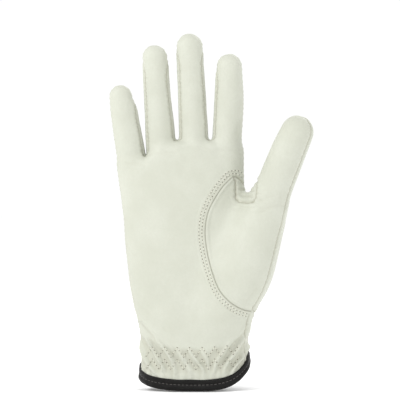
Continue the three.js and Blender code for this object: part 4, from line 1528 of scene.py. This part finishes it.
FINGER_VENTS, KNUCKLE_VENTS = (3, 5, 2.7), (4, 5, 3.1)   # holes across, rows and pitch
VENT_PLACES = {name: (4.5, 32) for name in FINGERS} | {"little": (2.5, 24)}   # past and below a finger's knots


def build_ventilation():
    """Two fields of holes for each finger: on its back past the second fold, and below its knuckle."""
    for digit in FINGERS:
        past, below = VENT_PLACES[digit]
        along = FOLDS[digit][1].along[[0, 2]]
        centre = np.array(CHAINS[digit][-2])[[0, 2]] + unit(along) * past
        punched(f"{digit}_vent_holes", hole_field(centre, along, *FINGER_VENTS), f"{digit}_upper")
        knuckle = np.array(CHAINS[digit][1])[[0, 2]] - (0, below)
        punched(f"{digit}_knuckle_vents", hole_field(knuckle, (0.0, 1.0), *KNUCKLE_VENTS), "hand")


# ---- floor, light and camera ----

CAMERA = {"aim": (0.0033, 0.0, 0.1257), "elevation": 1.0, "distance": 1.8, "lens": 243.0}
LIGHT_AIM = (0.0, 0.0, 0.12)
LIGHTS = {                   # where each lamp stands, its power and its size
    "key": ((-0.75, -0.6, 0.75), 6.2, 0.22),
    "side": ((0.9, -0.35, 0.3), 1.3, 0.4),
    "rear": ((0.55, 0.75, 0.7), 3.6, 0.3),
}
FLOOR = {"radius": 5, "gap": 0.0004, "sides": 64}


def build_stage():
    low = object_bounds()[0][2] - FLOOR["gap"]
    mesh = bpy.data.meshes.new("floor")
    turns = np.linspace(0, 2 * np.pi, FLOOR["sides"], endpoint=False)
    points = [(FLOOR["radius"] * math.cos(t), FLOOR["radius"] * math.sin(t), low) for t in turns]
    mesh.from_pydata(points, [], [list(range(len(points)))])
    obj = linked(bpy.data.objects.new("floor", mesh))
    m = Nodes("pale_floor")
    m.set(Base_Color=tone(255, 255, 255), Roughness=0.9, Specular_IOR_Level=0.1)
    mesh.materials.append(m.material)


def build_lights():
    for name, (place, energy, size) in LIGHTS.items():
        light = bpy.data.lights.new(name, "AREA")
        light.energy = energy
        light.size = size
        obj = linked(bpy.data.objects.new(name, light))
        obj.location = place
        obj.rotation_euler = (Vector(LIGHT_AIM) - Vector(place)).to_track_quat("-Z", "Y").to_euler()
    world = bpy.data.worlds.new("studio")
    world.use_nodes = True
    world.node_tree.nodes["Background"].inputs["Color"].default_value = (1, 1, 1, 1)
    world.node_tree.nodes["Background"].inputs["Strength"].default_value = 1.02
    bpy.context.scene.world = world
    bpy.context.scene.view_settings.view_transform = "Standard"


def build_camera():
    camera = bpy.data.cameras.new("camera")
    camera.lens = CAMERA["lens"]
    camera.sensor_width = 36
    obj = linked(bpy.data.objects.new("camera", camera))
    rise = math.radians(CAMERA["elevation"])
    back = Vector((0, -math.cos(rise), math.sin(rise))) * CAMERA["distance"]
    obj.location = Vector(CAMERA["aim"]) + back
    obj.rotation_euler = (math.radians(90) - rise, 0, 0)
    bpy.context.scene.camera = obj


build_panels()
build_topstitch()
build_zigzag()
build_binding()
build_slit_binding()
build_elastic()
build_closure()
build_ventilation()
build_stage()
build_lights()
build_camera()
